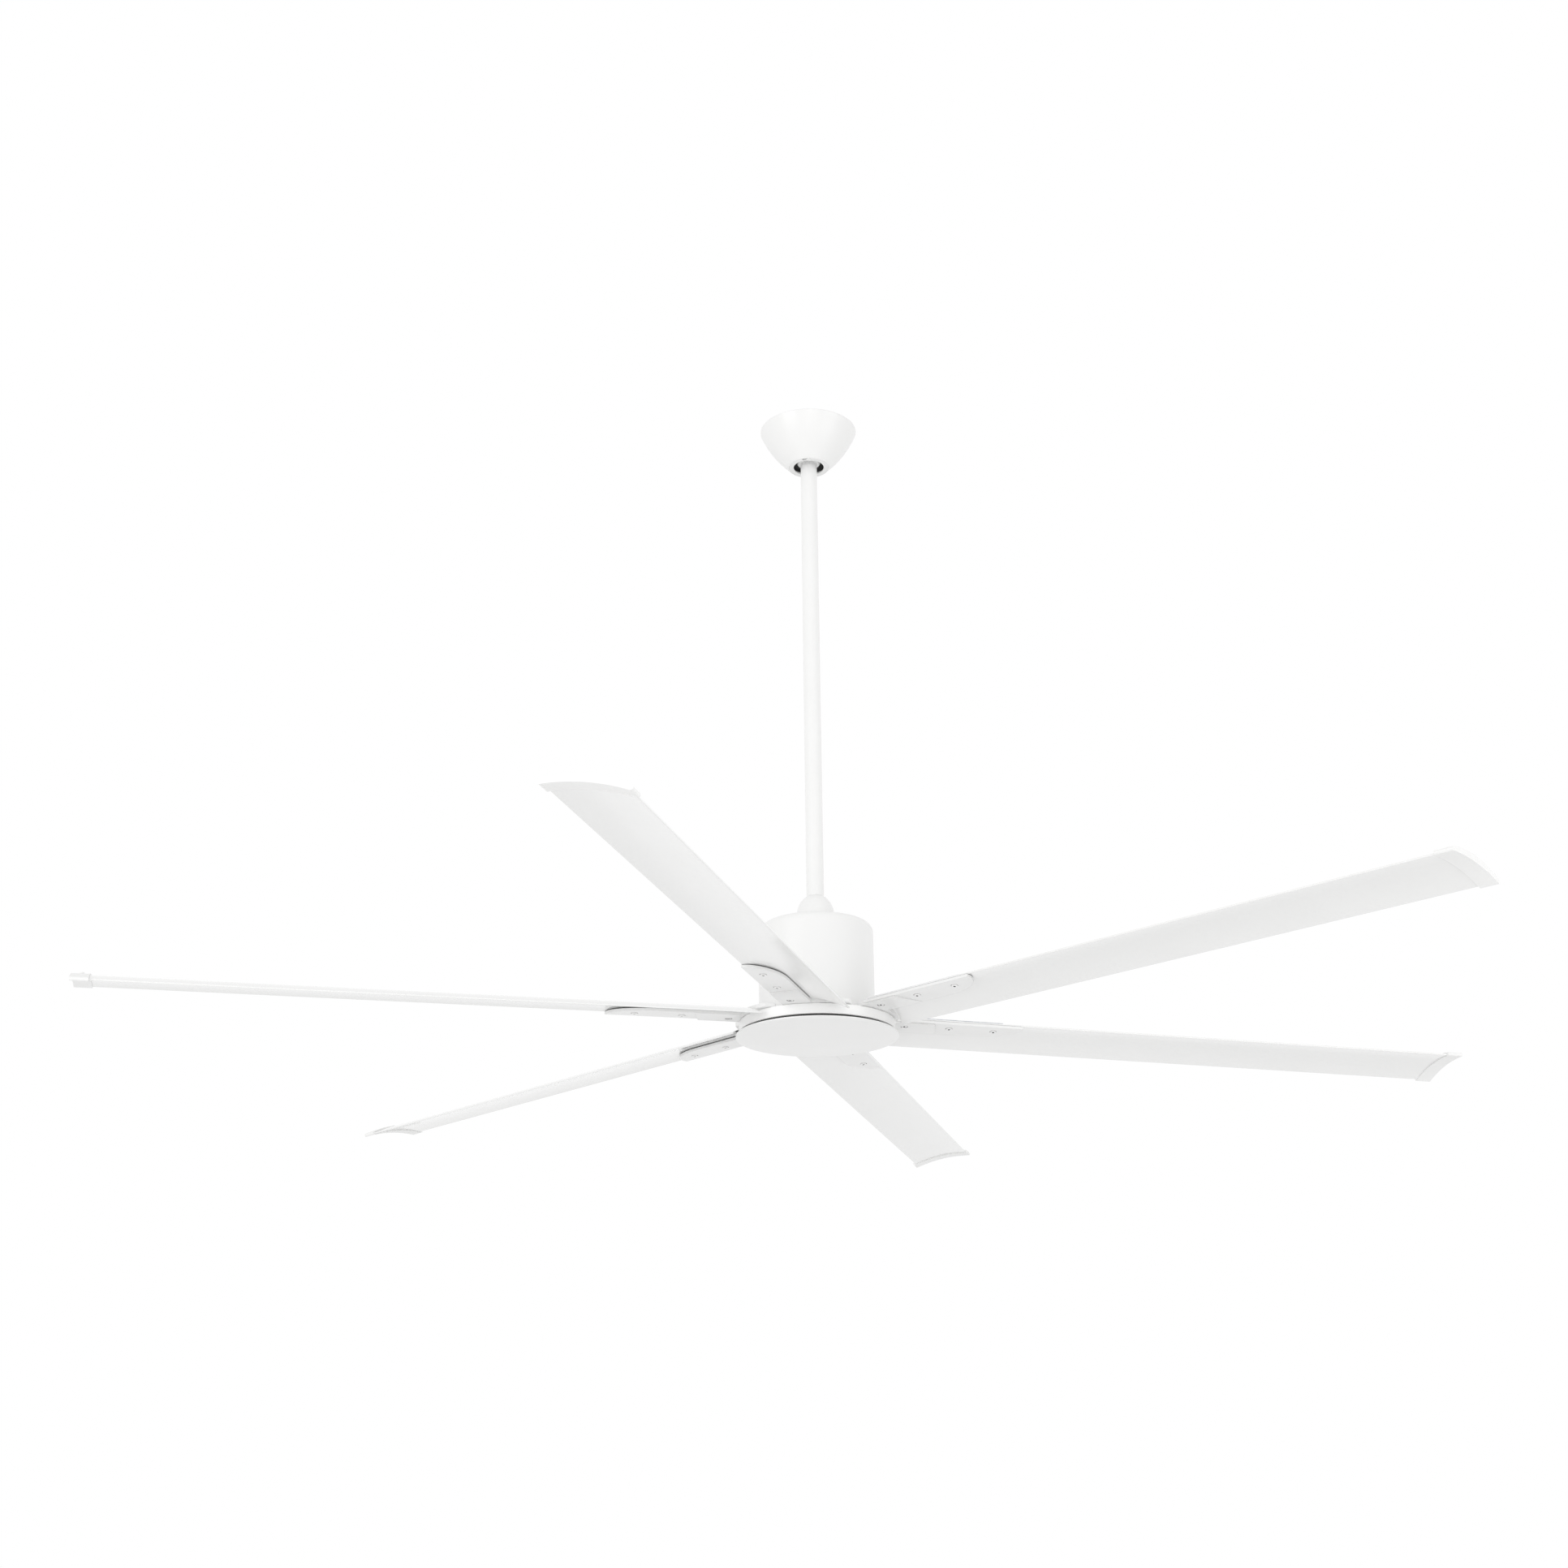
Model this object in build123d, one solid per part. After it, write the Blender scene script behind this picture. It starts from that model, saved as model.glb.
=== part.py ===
from build123d import *
import os

# Ceiling fan with six long arched blades on a down rod, in millimetres.
# The origin is the centre of the ceiling mounting face. +Z is up and the fan hangs below it.
# The blades turn clockwise seen from above, so the leading edge of a blade along +X is on its -Y side.
# Angles are in degrees.

# Angle of a quarter of a turn
quarter_turn = 90.0

# General fits
running_fit = 0.05
slip_fit = 0.1
body_gap = 0.3
overrun = 5.0

# Ceiling bracket
bracket_length = 118.0
bracket_width = 44.0
bracket_thickness = 2.5
bracket_corner = 6.0
wing_reach = 54.0
wing_width = 32.0
wire_hole_radius = 19.0
slot_spacing = 94.0
slot_length = 14.0
slot_radius = 3.3
leg_width = 22.0
leg_thickness = 2.5
ring_radius = 33.0
ring_thickness = 3.0
ring_below_ball = 11.5

# Hanger ball and its rubber liner
ball_radius = 24.0
ball_drop = 44.0
ball_top_height = 15.0
ball_bottom_height = 17.0
liner_thickness = 1.6
liner_top_drop = 9.5
liner_bottom_drop = 15.2
cross_pin_radius = 3.0
cross_pin_rise = 9.0
cross_pin_length = 38.0
cross_pin_chamfer = 0.6

# Grub screws of the ball and of the yoke
grub_radius = 2.5
grub_length = 5.5
grub_socket_radius = 1.4
grub_socket_depth = 2.0
ball_grub_rise = 1.0
yoke_grub_rise = 32.5

# Canopy
canopy_gap = 1.5
canopy_radius = 79.0
canopy_depth = 65.0
canopy_wall = 1.2
canopy_bulge = 4.5
mouth_radius = 24.8
lip_width = 8.0
lip_bead = 1.0
keyhole_radius = 2.2
keyhole_turn = 16.0
keyhole_azimuth = -107.0
canopy_screw_head = 3.4
canopy_screw_head_height = 1.8
canopy_screw_radius = 2.0

# Electrical pieces in the canopy
receiver_length = 54.0
receiver_depth = 15.0
receiver_height = 18.0
receiver_corner = 2.0
receiver_lid = 4.0
receiver_groove = 0.5
block_length = 30.0
block_depth = 13.0
block_height = 12.0
block_ways = 3
block_hole_radius = 1.8
block_screw_depth = 5.0
earth_head_radius = 3.6
earth_head_height = 2.2
earth_screw_radius = 2.0
earth_inset = 10.0

# Down rod
rod_radius = 13.35
rod_wall = 2.9
rod_overhang = 4.0
rod_length = 822.0

# Coupling between the rod and the motor
yoke_radius = 19.0
yoke_height = 37.0
yoke_floor = 10.5
yoke_flange_radius = 27.5
yoke_flange = 5.0
yoke_edge = 1.0
lead_hole_radius = 5.5
coupling_pin_radius = 3.5
coupling_pin_rise = 15.0
coupling_pin_stub = 4.5
coupling_pin_head_radius = 5.0
coupling_pin_head = 2.0
cotter_wire = 0.75
cotter_inset = 2.2
cotter_length = 11.0
cotter_eye = 2.0
flange_screw_circle = 23.1
flange_screw_radius = 2.0
flange_screw_head = 3.4
flange_screw_head_height = 2.2
flange_screw_count = 4
flange_screw_turn = 45.0

# Coupling cover
dome_radius = 29.6
dome_height = 46.0
dome_wall = 1.5
dome_skirt_radius = 28.2
dome_skirt_height = 21.5
dome_neck_radius = 17.2
dome_neck_height = 43.5
dome_bulge_share = 0.09

# Motor housing
housing_radius = 87.0
housing_height = 142.5
housing_wall = 1.6
housing_shoulder = 12.0
housing_running_gap = 2.0

# Rotor hub
hub_radius = 117.0
hub_height = 16.0
hub_web = 7.5
hub_wall = 4.0
hub_edge = 1.5
hub_boss_radius = 36.0
hub_boss_height = 12.5
hub_boss_roof = 4.0

# Bearings
bearing_radius = 23.5
bearing_bore = 10.0
bearing_width = 14.0
bearing_inner_wall = 3.0
bearing_outer_wall = 4.0
bearing_shield = 1.2
bearing_shield_inset = 0.6
bearing_edge = 0.6
bearing_lip = 2.0

# Shaft
shaft_bore = 6.0
shaft_shoulder = 12.5
shaft_tail = 4.0
shaft_flange = 6.0
stator_seat_radius = 20.0
stator_lip = 3.0
circlip_thickness = 1.4
circlip_radius = 13.0
circlip_groove = 0.6
circlip_opening = 4.0
window_width = 7.0
window_height = 16.0
phase_window_height = 9.0
phase_window_lift = 3.0

# Rotor shell
cup_side_gap = 5.4
cup_wall = 2.5
cup_height = 66.0
cup_hole_radius = 26.0
cup_edge = 1.5
cap_boss_wall = 5.5
cap_skirt = 4.0
rotor_screw_circle = 31.0
rotor_screw_count = 6
rotor_screw_radius = 2.0
rotor_screw_head = 3.6
rotor_screw_head_height = 2.4
rotor_screw_length = 9.0
magnet_thickness = 3.0
magnet_height = 36.0
magnet_lift = 16.0
magnet_count = 14
magnet_gap = 2.0

# Stator
air_gap = 0.8
core_height = 30.0
core_ring_share = 0.54
tooth_count = 12
tooth_width_share = 0.135
shoe_thickness = 5.0
shoe_gap = 2.4
coil_thickness_share = 0.048
coil_clearance = 0.3
coil_inset = 2.0
coil_corner = 2.5

# Driver board above the rotor
board_side_gap = 13.4
board_bore = 16.0
board_thickness = 1.6
board_drop = 36.0
pillar_radius = 3.0
pillar_inset = 10.0
pillar_count = 3
pillar_turn = 30.0
part_inset = 27.0
capacitor_radius = 9.0
capacitor_height = 24.0
capacitor_vent = 0.6
capacitor_azimuths = (200.0, 240.0)
choke_size = 20.0
choke_height = 16.0
choke_azimuth = 315.0
heat_sink_length = 46.0
heat_sink_depth = 9.0
heat_sink_height = 20.0
heat_sink_inset = 22.0
heat_sink_base = 3.0
heat_sink_fins = 7
heat_sink_fin_share = 0.45
socket_size = 9.0
socket_height = 8.0
socket_place = 33.0

# Motor lead inside the rod
lead_radius = 2.5
lead_offset = 6.6
lead_level_drop = 17.0
lead_bend = 8.0
lead_shift_height = 17.0
plug_width = 11.0
plug_depth = 8.0
plug_height = 9.0
plug_lift = 2.0
plug_corner = 1.0
plug_ways = 3
plug_hole_radius = 0.9
plug_hole_depth = 4.0

# Blades
blade_count = 6
first_azimuth = 15.6
blade_tip_radius = 1063.0
blade_root_gap = 4.0
blade_half_chord = 50.5
blade_nose = 1.3
blade_underside_crown = 4.4
blade_top_crown = 9.8
blade_wall = 1.2
blade_tilt = 10.0
blade_droop = 0.5
blade_offset = 25.6
blade_plane_lift = 0.5
cavity_inset = 12.0
centre_rib = 10.0
screw_land = 16.0

# Blade arms
tongue_thickness = 6.0
tongue_inner_radius = 62.0
tongue_inner_half = 20.0
tongue_overlap = 6.5
tongue_flare_length = 24.0
tongue_trailing = 74.0
tongue_trailing_length = 40.0
tongue_leading = 23.0
tongue_corner = 4.0
fin_thickness = 4.0
fin_width = 46.8
fin_hub_gap = 0.5
fin_tip_radius = 318.0
fin_tip_length = 73.0
fin_lead_drop = 1.5
fin_rise = 4.8
fin_edge = 0.7
pad_length = 60.5
pad_slant = 14.0
pad_lead_drop = 2.6
pad_inner_drop = 0.3
pad_lip = 3.0
boss_radius = 7.0
boss_height = 5.0

# Screws that hold the blades
blade_screw_count = 3
blade_screw_root_inset = 17.5
blade_screw_tip_inset = 41.0
blade_screw_lead_inset = 20.4
blade_screw_radius = 2.5
blade_screw_head = 4.6
blade_screw_head_height = 1.9
blade_screw_seat = 0.4
blade_screw_end_inset = 0.6
spot_face_radius = 5.4

# Screws that hold the arms: their radius and their distance towards the leading side
arm_screw_radii = (72.0, 102.0, 98.0)
arm_screw_offsets = (0.0, 14.0, -34.0)
arm_screw_radius = 2.5
arm_screw_head = 4.5
arm_screw_head_height = 3.0
arm_screw_length = 12.0

# Recess of every screw head, as shares of the head
recess_share = 0.42
recess_depth_share = 0.6
recess_sides = 6

# Backing plates on top of the blades
backing_width = 18.0
backing_thickness = 3.0
backing_root_inset = 2.0
backing_overhang = 14.0

# Tip caps
cap_length = 25.0
cap_end_wall = 2.0
cap_side_wall = 4.0
cap_face_wall = 1.8
cap_nose = 2.9
cap_screw_radius = 1.75
cap_screw_head = 3.4
cap_screw_head_height = 2.2
cap_screw_length = 5.2
cap_screw_inset = 12.5

# Bottom cover
dish_radius = 122.0
dish_gap = 4.5
dish_depth = 7.0
dish_wall = 1.6
dish_rim = 2.2
dish_bevel_radius = 117.0
dish_bevel_depth = 3.4
spigot_clearance = 0.7
spigot_wall = 1.6
spigot_height = 8.5
clip_count = 3
clip_width = 12.0
clip_height = 4.5
clip_thickness = 0.5
clip_turn = 60.0

# Levels and radii worked out from the sizes above
ball_z = -ball_drop
ring_drop = ball_drop + ring_below_ball
rod_top_z = ball_z + ball_top_height + rod_overhang
rod_bottom_z = rod_top_z - rod_length
rod_bore = rod_radius - rod_wall
coupling_pin_z = rod_bottom_z + coupling_pin_rise
housing_top_z = rod_bottom_z - yoke_floor
housing_bottom_z = housing_top_z - housing_height
tongue_top_z = housing_bottom_z - housing_running_gap
hub_top_z = tongue_top_z - tongue_thickness
hub_web_z = hub_top_z - hub_web
hub_bottom_z = hub_top_z - hub_height
boss_top_z = hub_top_z + hub_boss_height
blade_plane_z = hub_top_z + blade_plane_lift
dish_top_z = hub_bottom_z - dish_gap
dish_bottom_z = dish_top_z - dish_depth
cup_top_z = boss_top_z + cup_height
lower_bearing_top_z = boss_top_z - hub_boss_roof
lower_bearing_z = lower_bearing_top_z - bearing_width
upper_bearing_z = cup_top_z
upper_bearing_top_z = upper_bearing_z + bearing_width
shaft_top_z = housing_top_z - housing_wall
shaft_bottom_z = lower_bearing_z - shaft_tail
magnet_z = boss_top_z + magnet_lift
core_z = magnet_z + (magnet_height - core_height) / 2
core_top_z = core_z + core_height
board_z = shaft_top_z - board_drop
board_top_z = board_z + board_thickness
lead_level_z = shaft_top_z - lead_level_drop
canopy_rim_z = -canopy_gap
canopy_bottom_z = canopy_rim_z - canopy_depth
canopy_lip_z = canopy_bottom_z + canopy_wall / 2
lip_circle = mouth_radius + lip_width / 2
liner_radius = ball_radius + running_fit + liner_thickness
seat_radius = liner_radius + running_fit
cup_radius = housing_radius - housing_wall - cup_side_gap
cup_bore = cup_radius - cup_wall
magnet_bore = cup_bore - magnet_thickness
core_radius = magnet_bore - air_gap
core_ring_radius = core_radius * core_ring_share
tooth_width = core_radius * tooth_width_share
coil_thickness = core_radius * coil_thickness_share
board_radius = housing_radius - housing_wall - board_side_gap
pillar_circle = board_radius - pillar_inset
part_circle = board_radius - part_inset
heat_sink_place = board_radius - heat_sink_inset
bearing_seat_radius = bearing_bore - running_fit
spigot_radius = hub_radius - hub_wall - spigot_clearance
fin_start_radius = hub_radius + fin_hub_gap
fin_straight_end = fin_tip_radius - fin_tip_length
pad_lead_end = fin_start_radius + pad_length
pad_inner_end = pad_lead_end + pad_slant
tongue_outer_radius = fin_start_radius + tongue_overlap
tongue_flare_radius = tongue_outer_radius - tongue_flare_length
tongue_trailing_radius = tongue_outer_radius - tongue_trailing_length
blade_root_radius = tongue_outer_radius + blade_root_gap
blade_screw_lead = blade_half_chord - blade_screw_lead_inset
first_screw_radius = fin_start_radius + blade_screw_root_inset
last_screw_radius = fin_tip_radius - blade_screw_tip_inset
backing_start = blade_root_radius + backing_root_inset
backing_end = last_screw_radius + backing_overhang


# Plain shapes
def disc(radius, low, high):
    """Upright cylinder about the axis between two levels."""
    return Pos(0, 0, (low + high) / 2) * Cylinder(radius, high - low)


def tube(outer, inner, low, high):
    """Upright ring about the axis between two levels."""
    return disc(outer, low, high) - disc(inner, low - overrun, high + overrun)


def block(x_low, x_high, y_low, y_high, low, high):
    """Box between two corners."""
    middle = Pos((x_low + x_high) / 2, (y_low + y_high) / 2, (low + high) / 2)
    return middle * Box(x_high - x_low, y_high - y_low, high - low)


def bar(radius, x_low, x_high, level):
    """Level cylinder along the X axis."""
    return Pos((x_low + x_high) / 2, 0, level) * Rot(0, 90, 0) * Cylinder(radius, x_high - x_low)


def turned(edges):
    """Solid turned about the axis from a closed outline in the XZ plane."""
    return revolve(make_face(edges), axis=Axis.Z)


def ring_of(piece, count, start):
    """Copies of a piece spaced evenly about the axis."""
    return [Rot(0, 0, start + 360.0 * turn / count) * piece for turn in range(count)]


def pan_screw(head_radius, head_height, shank_radius, length):
    """Pan head screw with its seat at the origin, its head below and its shank along +Z."""
    head = disc(head_radius, -head_height, 0)
    head = fillet(head.edges().group_by(Axis.Z)[0], head_height / 2)
    recess = RegularPolygon(head_radius * recess_share, recess_sides)
    head -= Pos(0, 0, -head_height) * extrude(recess, head_height * recess_depth_share)
    return head + disc(shank_radius, 0, length)


def save(piece, node):
    """Writes one node. A list of equal pieces goes into one file."""
    if isinstance(piece, list):
        piece = Compound(children=piece)
    piece.label = node
    export_step(piece, os.path.join("parts", node + ".step"))


# Ceiling bracket and what it carries
def canopy_screw_azimuths():
    """The closed ends of the two keyholes, half a turn apart."""
    near = keyhole_azimuth + keyhole_turn
    return [near, near + 180.0]


def make_bracket():
    body = extrude(RectangleRounded(bracket_length, bracket_width, bracket_corner), -bracket_thickness)
    body += extrude(RectangleRounded(wing_width, 2 * wing_reach, bracket_corner), -bracket_thickness)
    ring_bottom_z = -ring_drop - ring_thickness
    leg = block(ring_radius - leg_thickness, ring_radius, -leg_width / 2, leg_width / 2, ring_bottom_z, 0)
    for copy in ring_of(leg, 2, 0):
        body += copy
    body += disc(ring_radius, ring_bottom_z, -ring_drop)
    body -= Pos(0, 0, ball_z) * Sphere(seat_radius)
    body -= disc(wire_hole_radius, -bracket_thickness - overrun, overrun)
    slot = extrude(SlotOverall(slot_length, 2 * slot_radius), bracket_thickness + overrun, both=True)
    for copy in ring_of(Pos(slot_spacing / 2, 0, 0) * slot, 2, 0):
        body -= copy
    hole = disc(canopy_screw_radius + running_fit, ring_bottom_z - overrun, overrun - ring_drop)
    for azimuth in canopy_screw_azimuths():
        body -= Rot(0, 0, azimuth) * Pos(lip_circle, 0, 0) * hole
    earth_place = Pos(earth_inset, earth_inset - wing_reach, 0)
    body -= earth_place * disc(earth_screw_radius + running_fit, -bracket_thickness - overrun, overrun)
    return body


def make_earth_screw():
    screw = pan_screw(earth_head_radius, earth_head_height, earth_screw_radius, bracket_thickness)
    return Pos(earth_inset, earth_inset - wing_reach, -bracket_thickness) * screw


def make_receiver():
    half = receiver_length / 2
    near = wing_reach - receiver_depth
    low = -bracket_thickness - receiver_height
    case = block(-half, half, near, wing_reach, low, -bracket_thickness)
    case = fillet(case.edges().filter_by(Axis.Z), receiver_corner)
    line_z = low + receiver_lid
    out = half + overrun
    groove = block(-out, out, near - overrun, wing_reach + overrun, line_z, line_z + receiver_groove)
    groove -= block(
        receiver_groove - half,
        half - receiver_groove,
        near + receiver_groove,
        wing_reach - receiver_groove,
        line_z - overrun,
        line_z + overrun,
    )
    return case - groove


def make_terminal_block():
    near = 2 * earth_inset - wing_reach
    low = -bracket_thickness - block_height
    half = block_length / 2
    body = block(-half, half, near, near + block_depth, low, -bracket_thickness)
    middle = near + block_depth / 2
    for way in range(block_ways):
        across = block_length * (way + 0.5) / block_ways - half
        wire = Pos(across, middle, low + block_height / 2) * Rot(90, 0, 0)
        body -= wire * Cylinder(block_hole_radius, block_depth + overrun)
        body -= Pos(across, middle, 0) * disc(block_hole_radius, low - overrun, low + block_screw_depth)
    return body


# Canopy
def canopy_side(inset):
    """Side curve of the bowl from the lip up to the rim, moved inwards by the inset."""
    foot_x = mouth_radius + lip_width
    foot_z = canopy_bottom_z + inset
    top_x = canopy_radius - inset
    run = top_x - foot_x
    rise = canopy_rim_z - foot_z
    slant = (run**2 + rise**2) ** 0.5
    middle_x = foot_x + run / 2 + canopy_bulge * rise / slant
    middle_z = foot_z + rise / 2 - canopy_bulge * run / slant
    return ThreePointArc((foot_x, 0, foot_z), (middle_x, 0, middle_z), (top_x, 0, canopy_rim_z))


def make_keyhole():
    """Curved slot in the lip. Its open end is in front and its other end holds the screw."""
    centre_line = CenterArc((0, 0), lip_circle, keyhole_azimuth, keyhole_turn)
    slot = extrude(SlotArc(centre_line, 2 * keyhole_radius), canopy_wall + overrun, both=True)
    return Pos(0, 0, canopy_bottom_z) * slot


def make_canopy():
    outside = canopy_side(0)
    inside = canopy_side(canopy_wall)
    mouth_low = (mouth_radius, 0, canopy_bottom_z)
    mouth_high = (mouth_radius, 0, canopy_bottom_z + canopy_wall)
    edges = [
        outside,
        Line(outside @ 1, inside @ 1),
        inside,
        Line(inside @ 0, mouth_high),
        Line(mouth_high, mouth_low),
        Line(mouth_low, outside @ 0),
    ]
    bowl = turned(edges)
    bowl += Pos(0, 0, canopy_lip_z) * Torus(mouth_radius + lip_bead, lip_bead)
    bowl += Pos(0, 0, canopy_lip_z) * Torus(mouth_radius + lip_width, lip_bead)
    for copy in ring_of(make_keyhole(), 2, 0):
        bowl -= copy
    return bowl


def make_canopy_screws():
    seat_z = canopy_lip_z - lip_bead
    screw = pan_screw(canopy_screw_head, canopy_screw_head_height, canopy_screw_radius, -ring_drop - seat_z)
    placed = Pos(lip_circle, 0, seat_z) * screw
    return [Rot(0, 0, azimuth) * placed for azimuth in canopy_screw_azimuths()]


# Hanger ball, liner and rod
def make_liner():
    shell = Pos(0, 0, ball_z) * (Sphere(liner_radius) - Sphere(ball_radius + running_fit))
    return shell & disc(liner_radius, ball_z - liner_bottom_drop, ball_z - liner_top_drop)


def make_ball():
    body = Pos(0, 0, ball_z) * Sphere(ball_radius)
    body &= disc(ball_radius, ball_z - ball_bottom_height, ball_z + ball_top_height)
    body -= disc(rod_radius + slip_fit, ball_z - ball_radius, ball_z + ball_radius)
    body -= bar(cross_pin_radius + running_fit, -ball_radius, ball_radius, ball_z + cross_pin_rise)
    grub_hole = bar(grub_radius + running_fit, 0, ball_radius + overrun, ball_z + ball_grub_rise)
    return body - Rot(0, 0, -90) * grub_hole


def make_cross_pin():
    half = cross_pin_length / 2
    pin = bar(cross_pin_radius, -half, half, ball_z + cross_pin_rise)
    return chamfer(pin.edges().filter_by(GeomType.CIRCLE), cross_pin_chamfer)


def grub_screw(level):
    """Grub screw along +X that presses on the rod at a level."""
    end = rod_radius + grub_length
    screw = bar(grub_radius, rod_radius, end, level)
    socket = Plane((end, 0, level), z_dir=(1, 0, 0)) * RegularPolygon(grub_socket_radius, recess_sides)
    return screw - extrude(socket, -grub_socket_depth)


def make_grub_screws():
    yoke_screw = grub_screw(housing_top_z + yoke_grub_rise)
    return [
        Rot(0, 0, -90) * grub_screw(ball_z + ball_grub_rise),
        Rot(0, 0, -90) * yoke_screw,
        Rot(0, 0, 90) * yoke_screw,
    ]


def make_rod():
    body = tube(rod_radius, rod_bore, rod_bottom_z, rod_top_z)
    body -= bar(cross_pin_radius + running_fit, -rod_radius, rod_radius, ball_z + cross_pin_rise)
    return body - bar(coupling_pin_radius + running_fit, -rod_radius, rod_radius, coupling_pin_z)


# Motor lead
def make_lead():
    shift_bottom_z = coupling_pin_z - coupling_pin_radius - lead_shift_height
    path = FilletPolyline(
        (0, lead_offset, rod_top_z + plug_lift),
        (0, lead_offset, shift_bottom_z + lead_shift_height),
        (0, 0, shift_bottom_z),
        (0, 0, lead_level_z),
        (socket_place, 0, lead_level_z),
        (socket_place, 0, board_top_z + socket_height),
        radius=lead_bend,
    )
    return sweep(Plane(origin=path @ 0, z_dir=path % 0) * Circle(lead_radius), path=path)


def make_lead_plug():
    low = rod_top_z + plug_lift
    body = block(
        -plug_width / 2,
        plug_width / 2,
        lead_offset - plug_depth / 2,
        lead_offset + plug_depth / 2,
        low,
        low + plug_height,
    )
    body = fillet(body.edges().filter_by(Axis.Z), plug_corner)
    top = low + plug_height
    for way in range(plug_ways):
        across = plug_width * (way + 0.5) / plug_ways - plug_width / 2
        body -= Pos(across, lead_offset, 0) * disc(plug_hole_radius, top - plug_hole_depth, top + overrun)
    return body


# Coupling
def make_yoke():
    body = disc(yoke_radius, housing_top_z, housing_top_z + yoke_height)
    body = chamfer(body.edges().group_by(Axis.Z)[-1], yoke_edge)
    body += disc(yoke_flange_radius, housing_top_z, housing_top_z + yoke_flange)
    body -= disc(rod_radius + slip_fit, rod_bottom_z, housing_top_z + yoke_height + overrun)
    body -= disc(lead_hole_radius, housing_top_z - overrun, rod_bottom_z + overrun)
    body -= bar(coupling_pin_radius + running_fit, -yoke_radius, yoke_radius, coupling_pin_z)
    grub_hole = bar(grub_radius + running_fit, -yoke_radius, yoke_radius, housing_top_z + yoke_grub_rise)
    body -= Rot(0, 0, 90) * grub_hole
    for hole in flange_screw_holes():
        body -= hole
    return body


def flange_screw_holes():
    """Holes for the screws through the yoke, the housing and the shaft's flange."""
    low = shaft_top_z - shaft_flange - overrun
    hole = disc(flange_screw_radius + running_fit, low, housing_top_z + yoke_flange + overrun)
    return ring_of(Pos(flange_screw_circle, 0, 0) * hole, flange_screw_count, flange_screw_turn)


def make_flange_screws():
    length = yoke_flange + housing_wall + shaft_flange
    screw = pan_screw(flange_screw_head, flange_screw_head_height, flange_screw_radius, length)
    placed = Pos(flange_screw_circle, 0, housing_top_z + yoke_flange) * Rot(180, 0, 0) * screw
    return ring_of(placed, flange_screw_count, flange_screw_turn)


def make_coupling_pin():
    end = yoke_radius + coupling_pin_stub
    pin = bar(coupling_pin_radius, -yoke_radius, end, coupling_pin_z)
    pin += bar(coupling_pin_head_radius, -yoke_radius - coupling_pin_head, -yoke_radius, coupling_pin_z)
    hole = Pos(end - cotter_inset, 0, coupling_pin_z) * Rot(90, 0, 0)
    return pin - hole * Cylinder(cotter_wire + running_fit, 2 * coupling_pin_radius)


def make_cotter():
    place = Pos(yoke_radius + coupling_pin_stub - cotter_inset, 0, coupling_pin_z)
    leg = Rot(90, 0, 0) * Cylinder(cotter_wire, cotter_length)
    eye = Pos(0, -cotter_length / 2 - cotter_eye, 0) * Rot(0, 90, 0) * Torus(cotter_eye, cotter_wire)
    return place * (leg + eye)


def dome_points(inset):
    """Skirt foot, skirt top, bulge and neck of the coupling cover, moved inwards by the inset."""
    skirt_x = dome_skirt_radius - inset
    skirt_z = dome_skirt_height - inset * dome_skirt_height / dome_height
    neck_x = dome_neck_radius - inset
    neck_z = dome_neck_height - inset
    run = skirt_x - neck_x
    rise = neck_z - skirt_z
    bulge_x = (skirt_x + neck_x) / 2 + rise * dome_bulge_share
    bulge_z = (skirt_z + neck_z) / 2 + run * dome_bulge_share
    return (dome_radius - inset, 0), (skirt_x, skirt_z), (bulge_x, bulge_z), (neck_x, neck_z)


def make_coupling_cover():
    low = housing_top_z + body_gap
    hole = rod_radius + body_gap
    foot, skirt, bulge, neck = [(x, 0, low + z) for x, z in dome_points(0)]
    in_foot, in_skirt, in_bulge, in_neck = [(x, 0, low + z) for x, z in dome_points(dome_wall)]
    rim = (hole, 0, low + dome_height)
    in_rim = (hole, 0, low + dome_height - dome_wall)
    edges = [
        Line(foot, skirt),
        ThreePointArc(skirt, bulge, neck),
        Line(neck, rim),
        Line(rim, in_rim),
        Line(in_rim, in_neck),
        ThreePointArc(in_neck, in_bulge, in_skirt),
        Line(in_skirt, in_foot),
        Line(in_foot, foot),
    ]
    return turned(edges)


# Housing, shaft and the pieces that stand still in the motor
def make_housing():
    body = disc(housing_radius, housing_bottom_z, housing_top_z)
    body = fillet(body.edges().group_by(Axis.Z)[-1], housing_shoulder)
    core = disc(housing_radius - housing_wall, housing_bottom_z - overrun, shaft_top_z)
    body -= fillet(core.edges().group_by(Axis.Z)[-1], housing_shoulder - housing_wall)
    body -= disc(lead_hole_radius, shaft_top_z - overrun, housing_top_z + overrun)
    for hole in flange_screw_holes():
        body -= hole
    return body


def make_shaft():
    body = disc(bearing_seat_radius, shaft_bottom_z, shaft_top_z)
    body += disc(shaft_shoulder, lower_bearing_top_z, upper_bearing_z)
    body += disc(stator_seat_radius - running_fit, core_z, core_top_z)
    body += disc(stator_seat_radius + stator_lip, core_z - stator_lip, core_z)
    bore_bottom_z = core_top_z + phase_window_lift / 2
    body -= disc(shaft_bore, bore_bottom_z, shaft_top_z + overrun)
    half = window_width / 2
    reach = shaft_shoulder + overrun
    lead_window = window_height / 2
    body -= block(0, reach, -half, half, lead_level_z - lead_window, lead_level_z + lead_window)
    phase_low = core_top_z + phase_window_lift
    body -= block(-reach, 0, -half, half, phase_low, phase_low + phase_window_height)
    for low in circlip_levels():
        body -= tube(shaft_shoulder, bearing_bore - circlip_groove, low, low + circlip_thickness)
    return body


def circlip_levels():
    """Bottom level of the lower and the upper circlip."""
    return [lower_bearing_z - circlip_thickness, upper_bearing_top_z]


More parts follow.
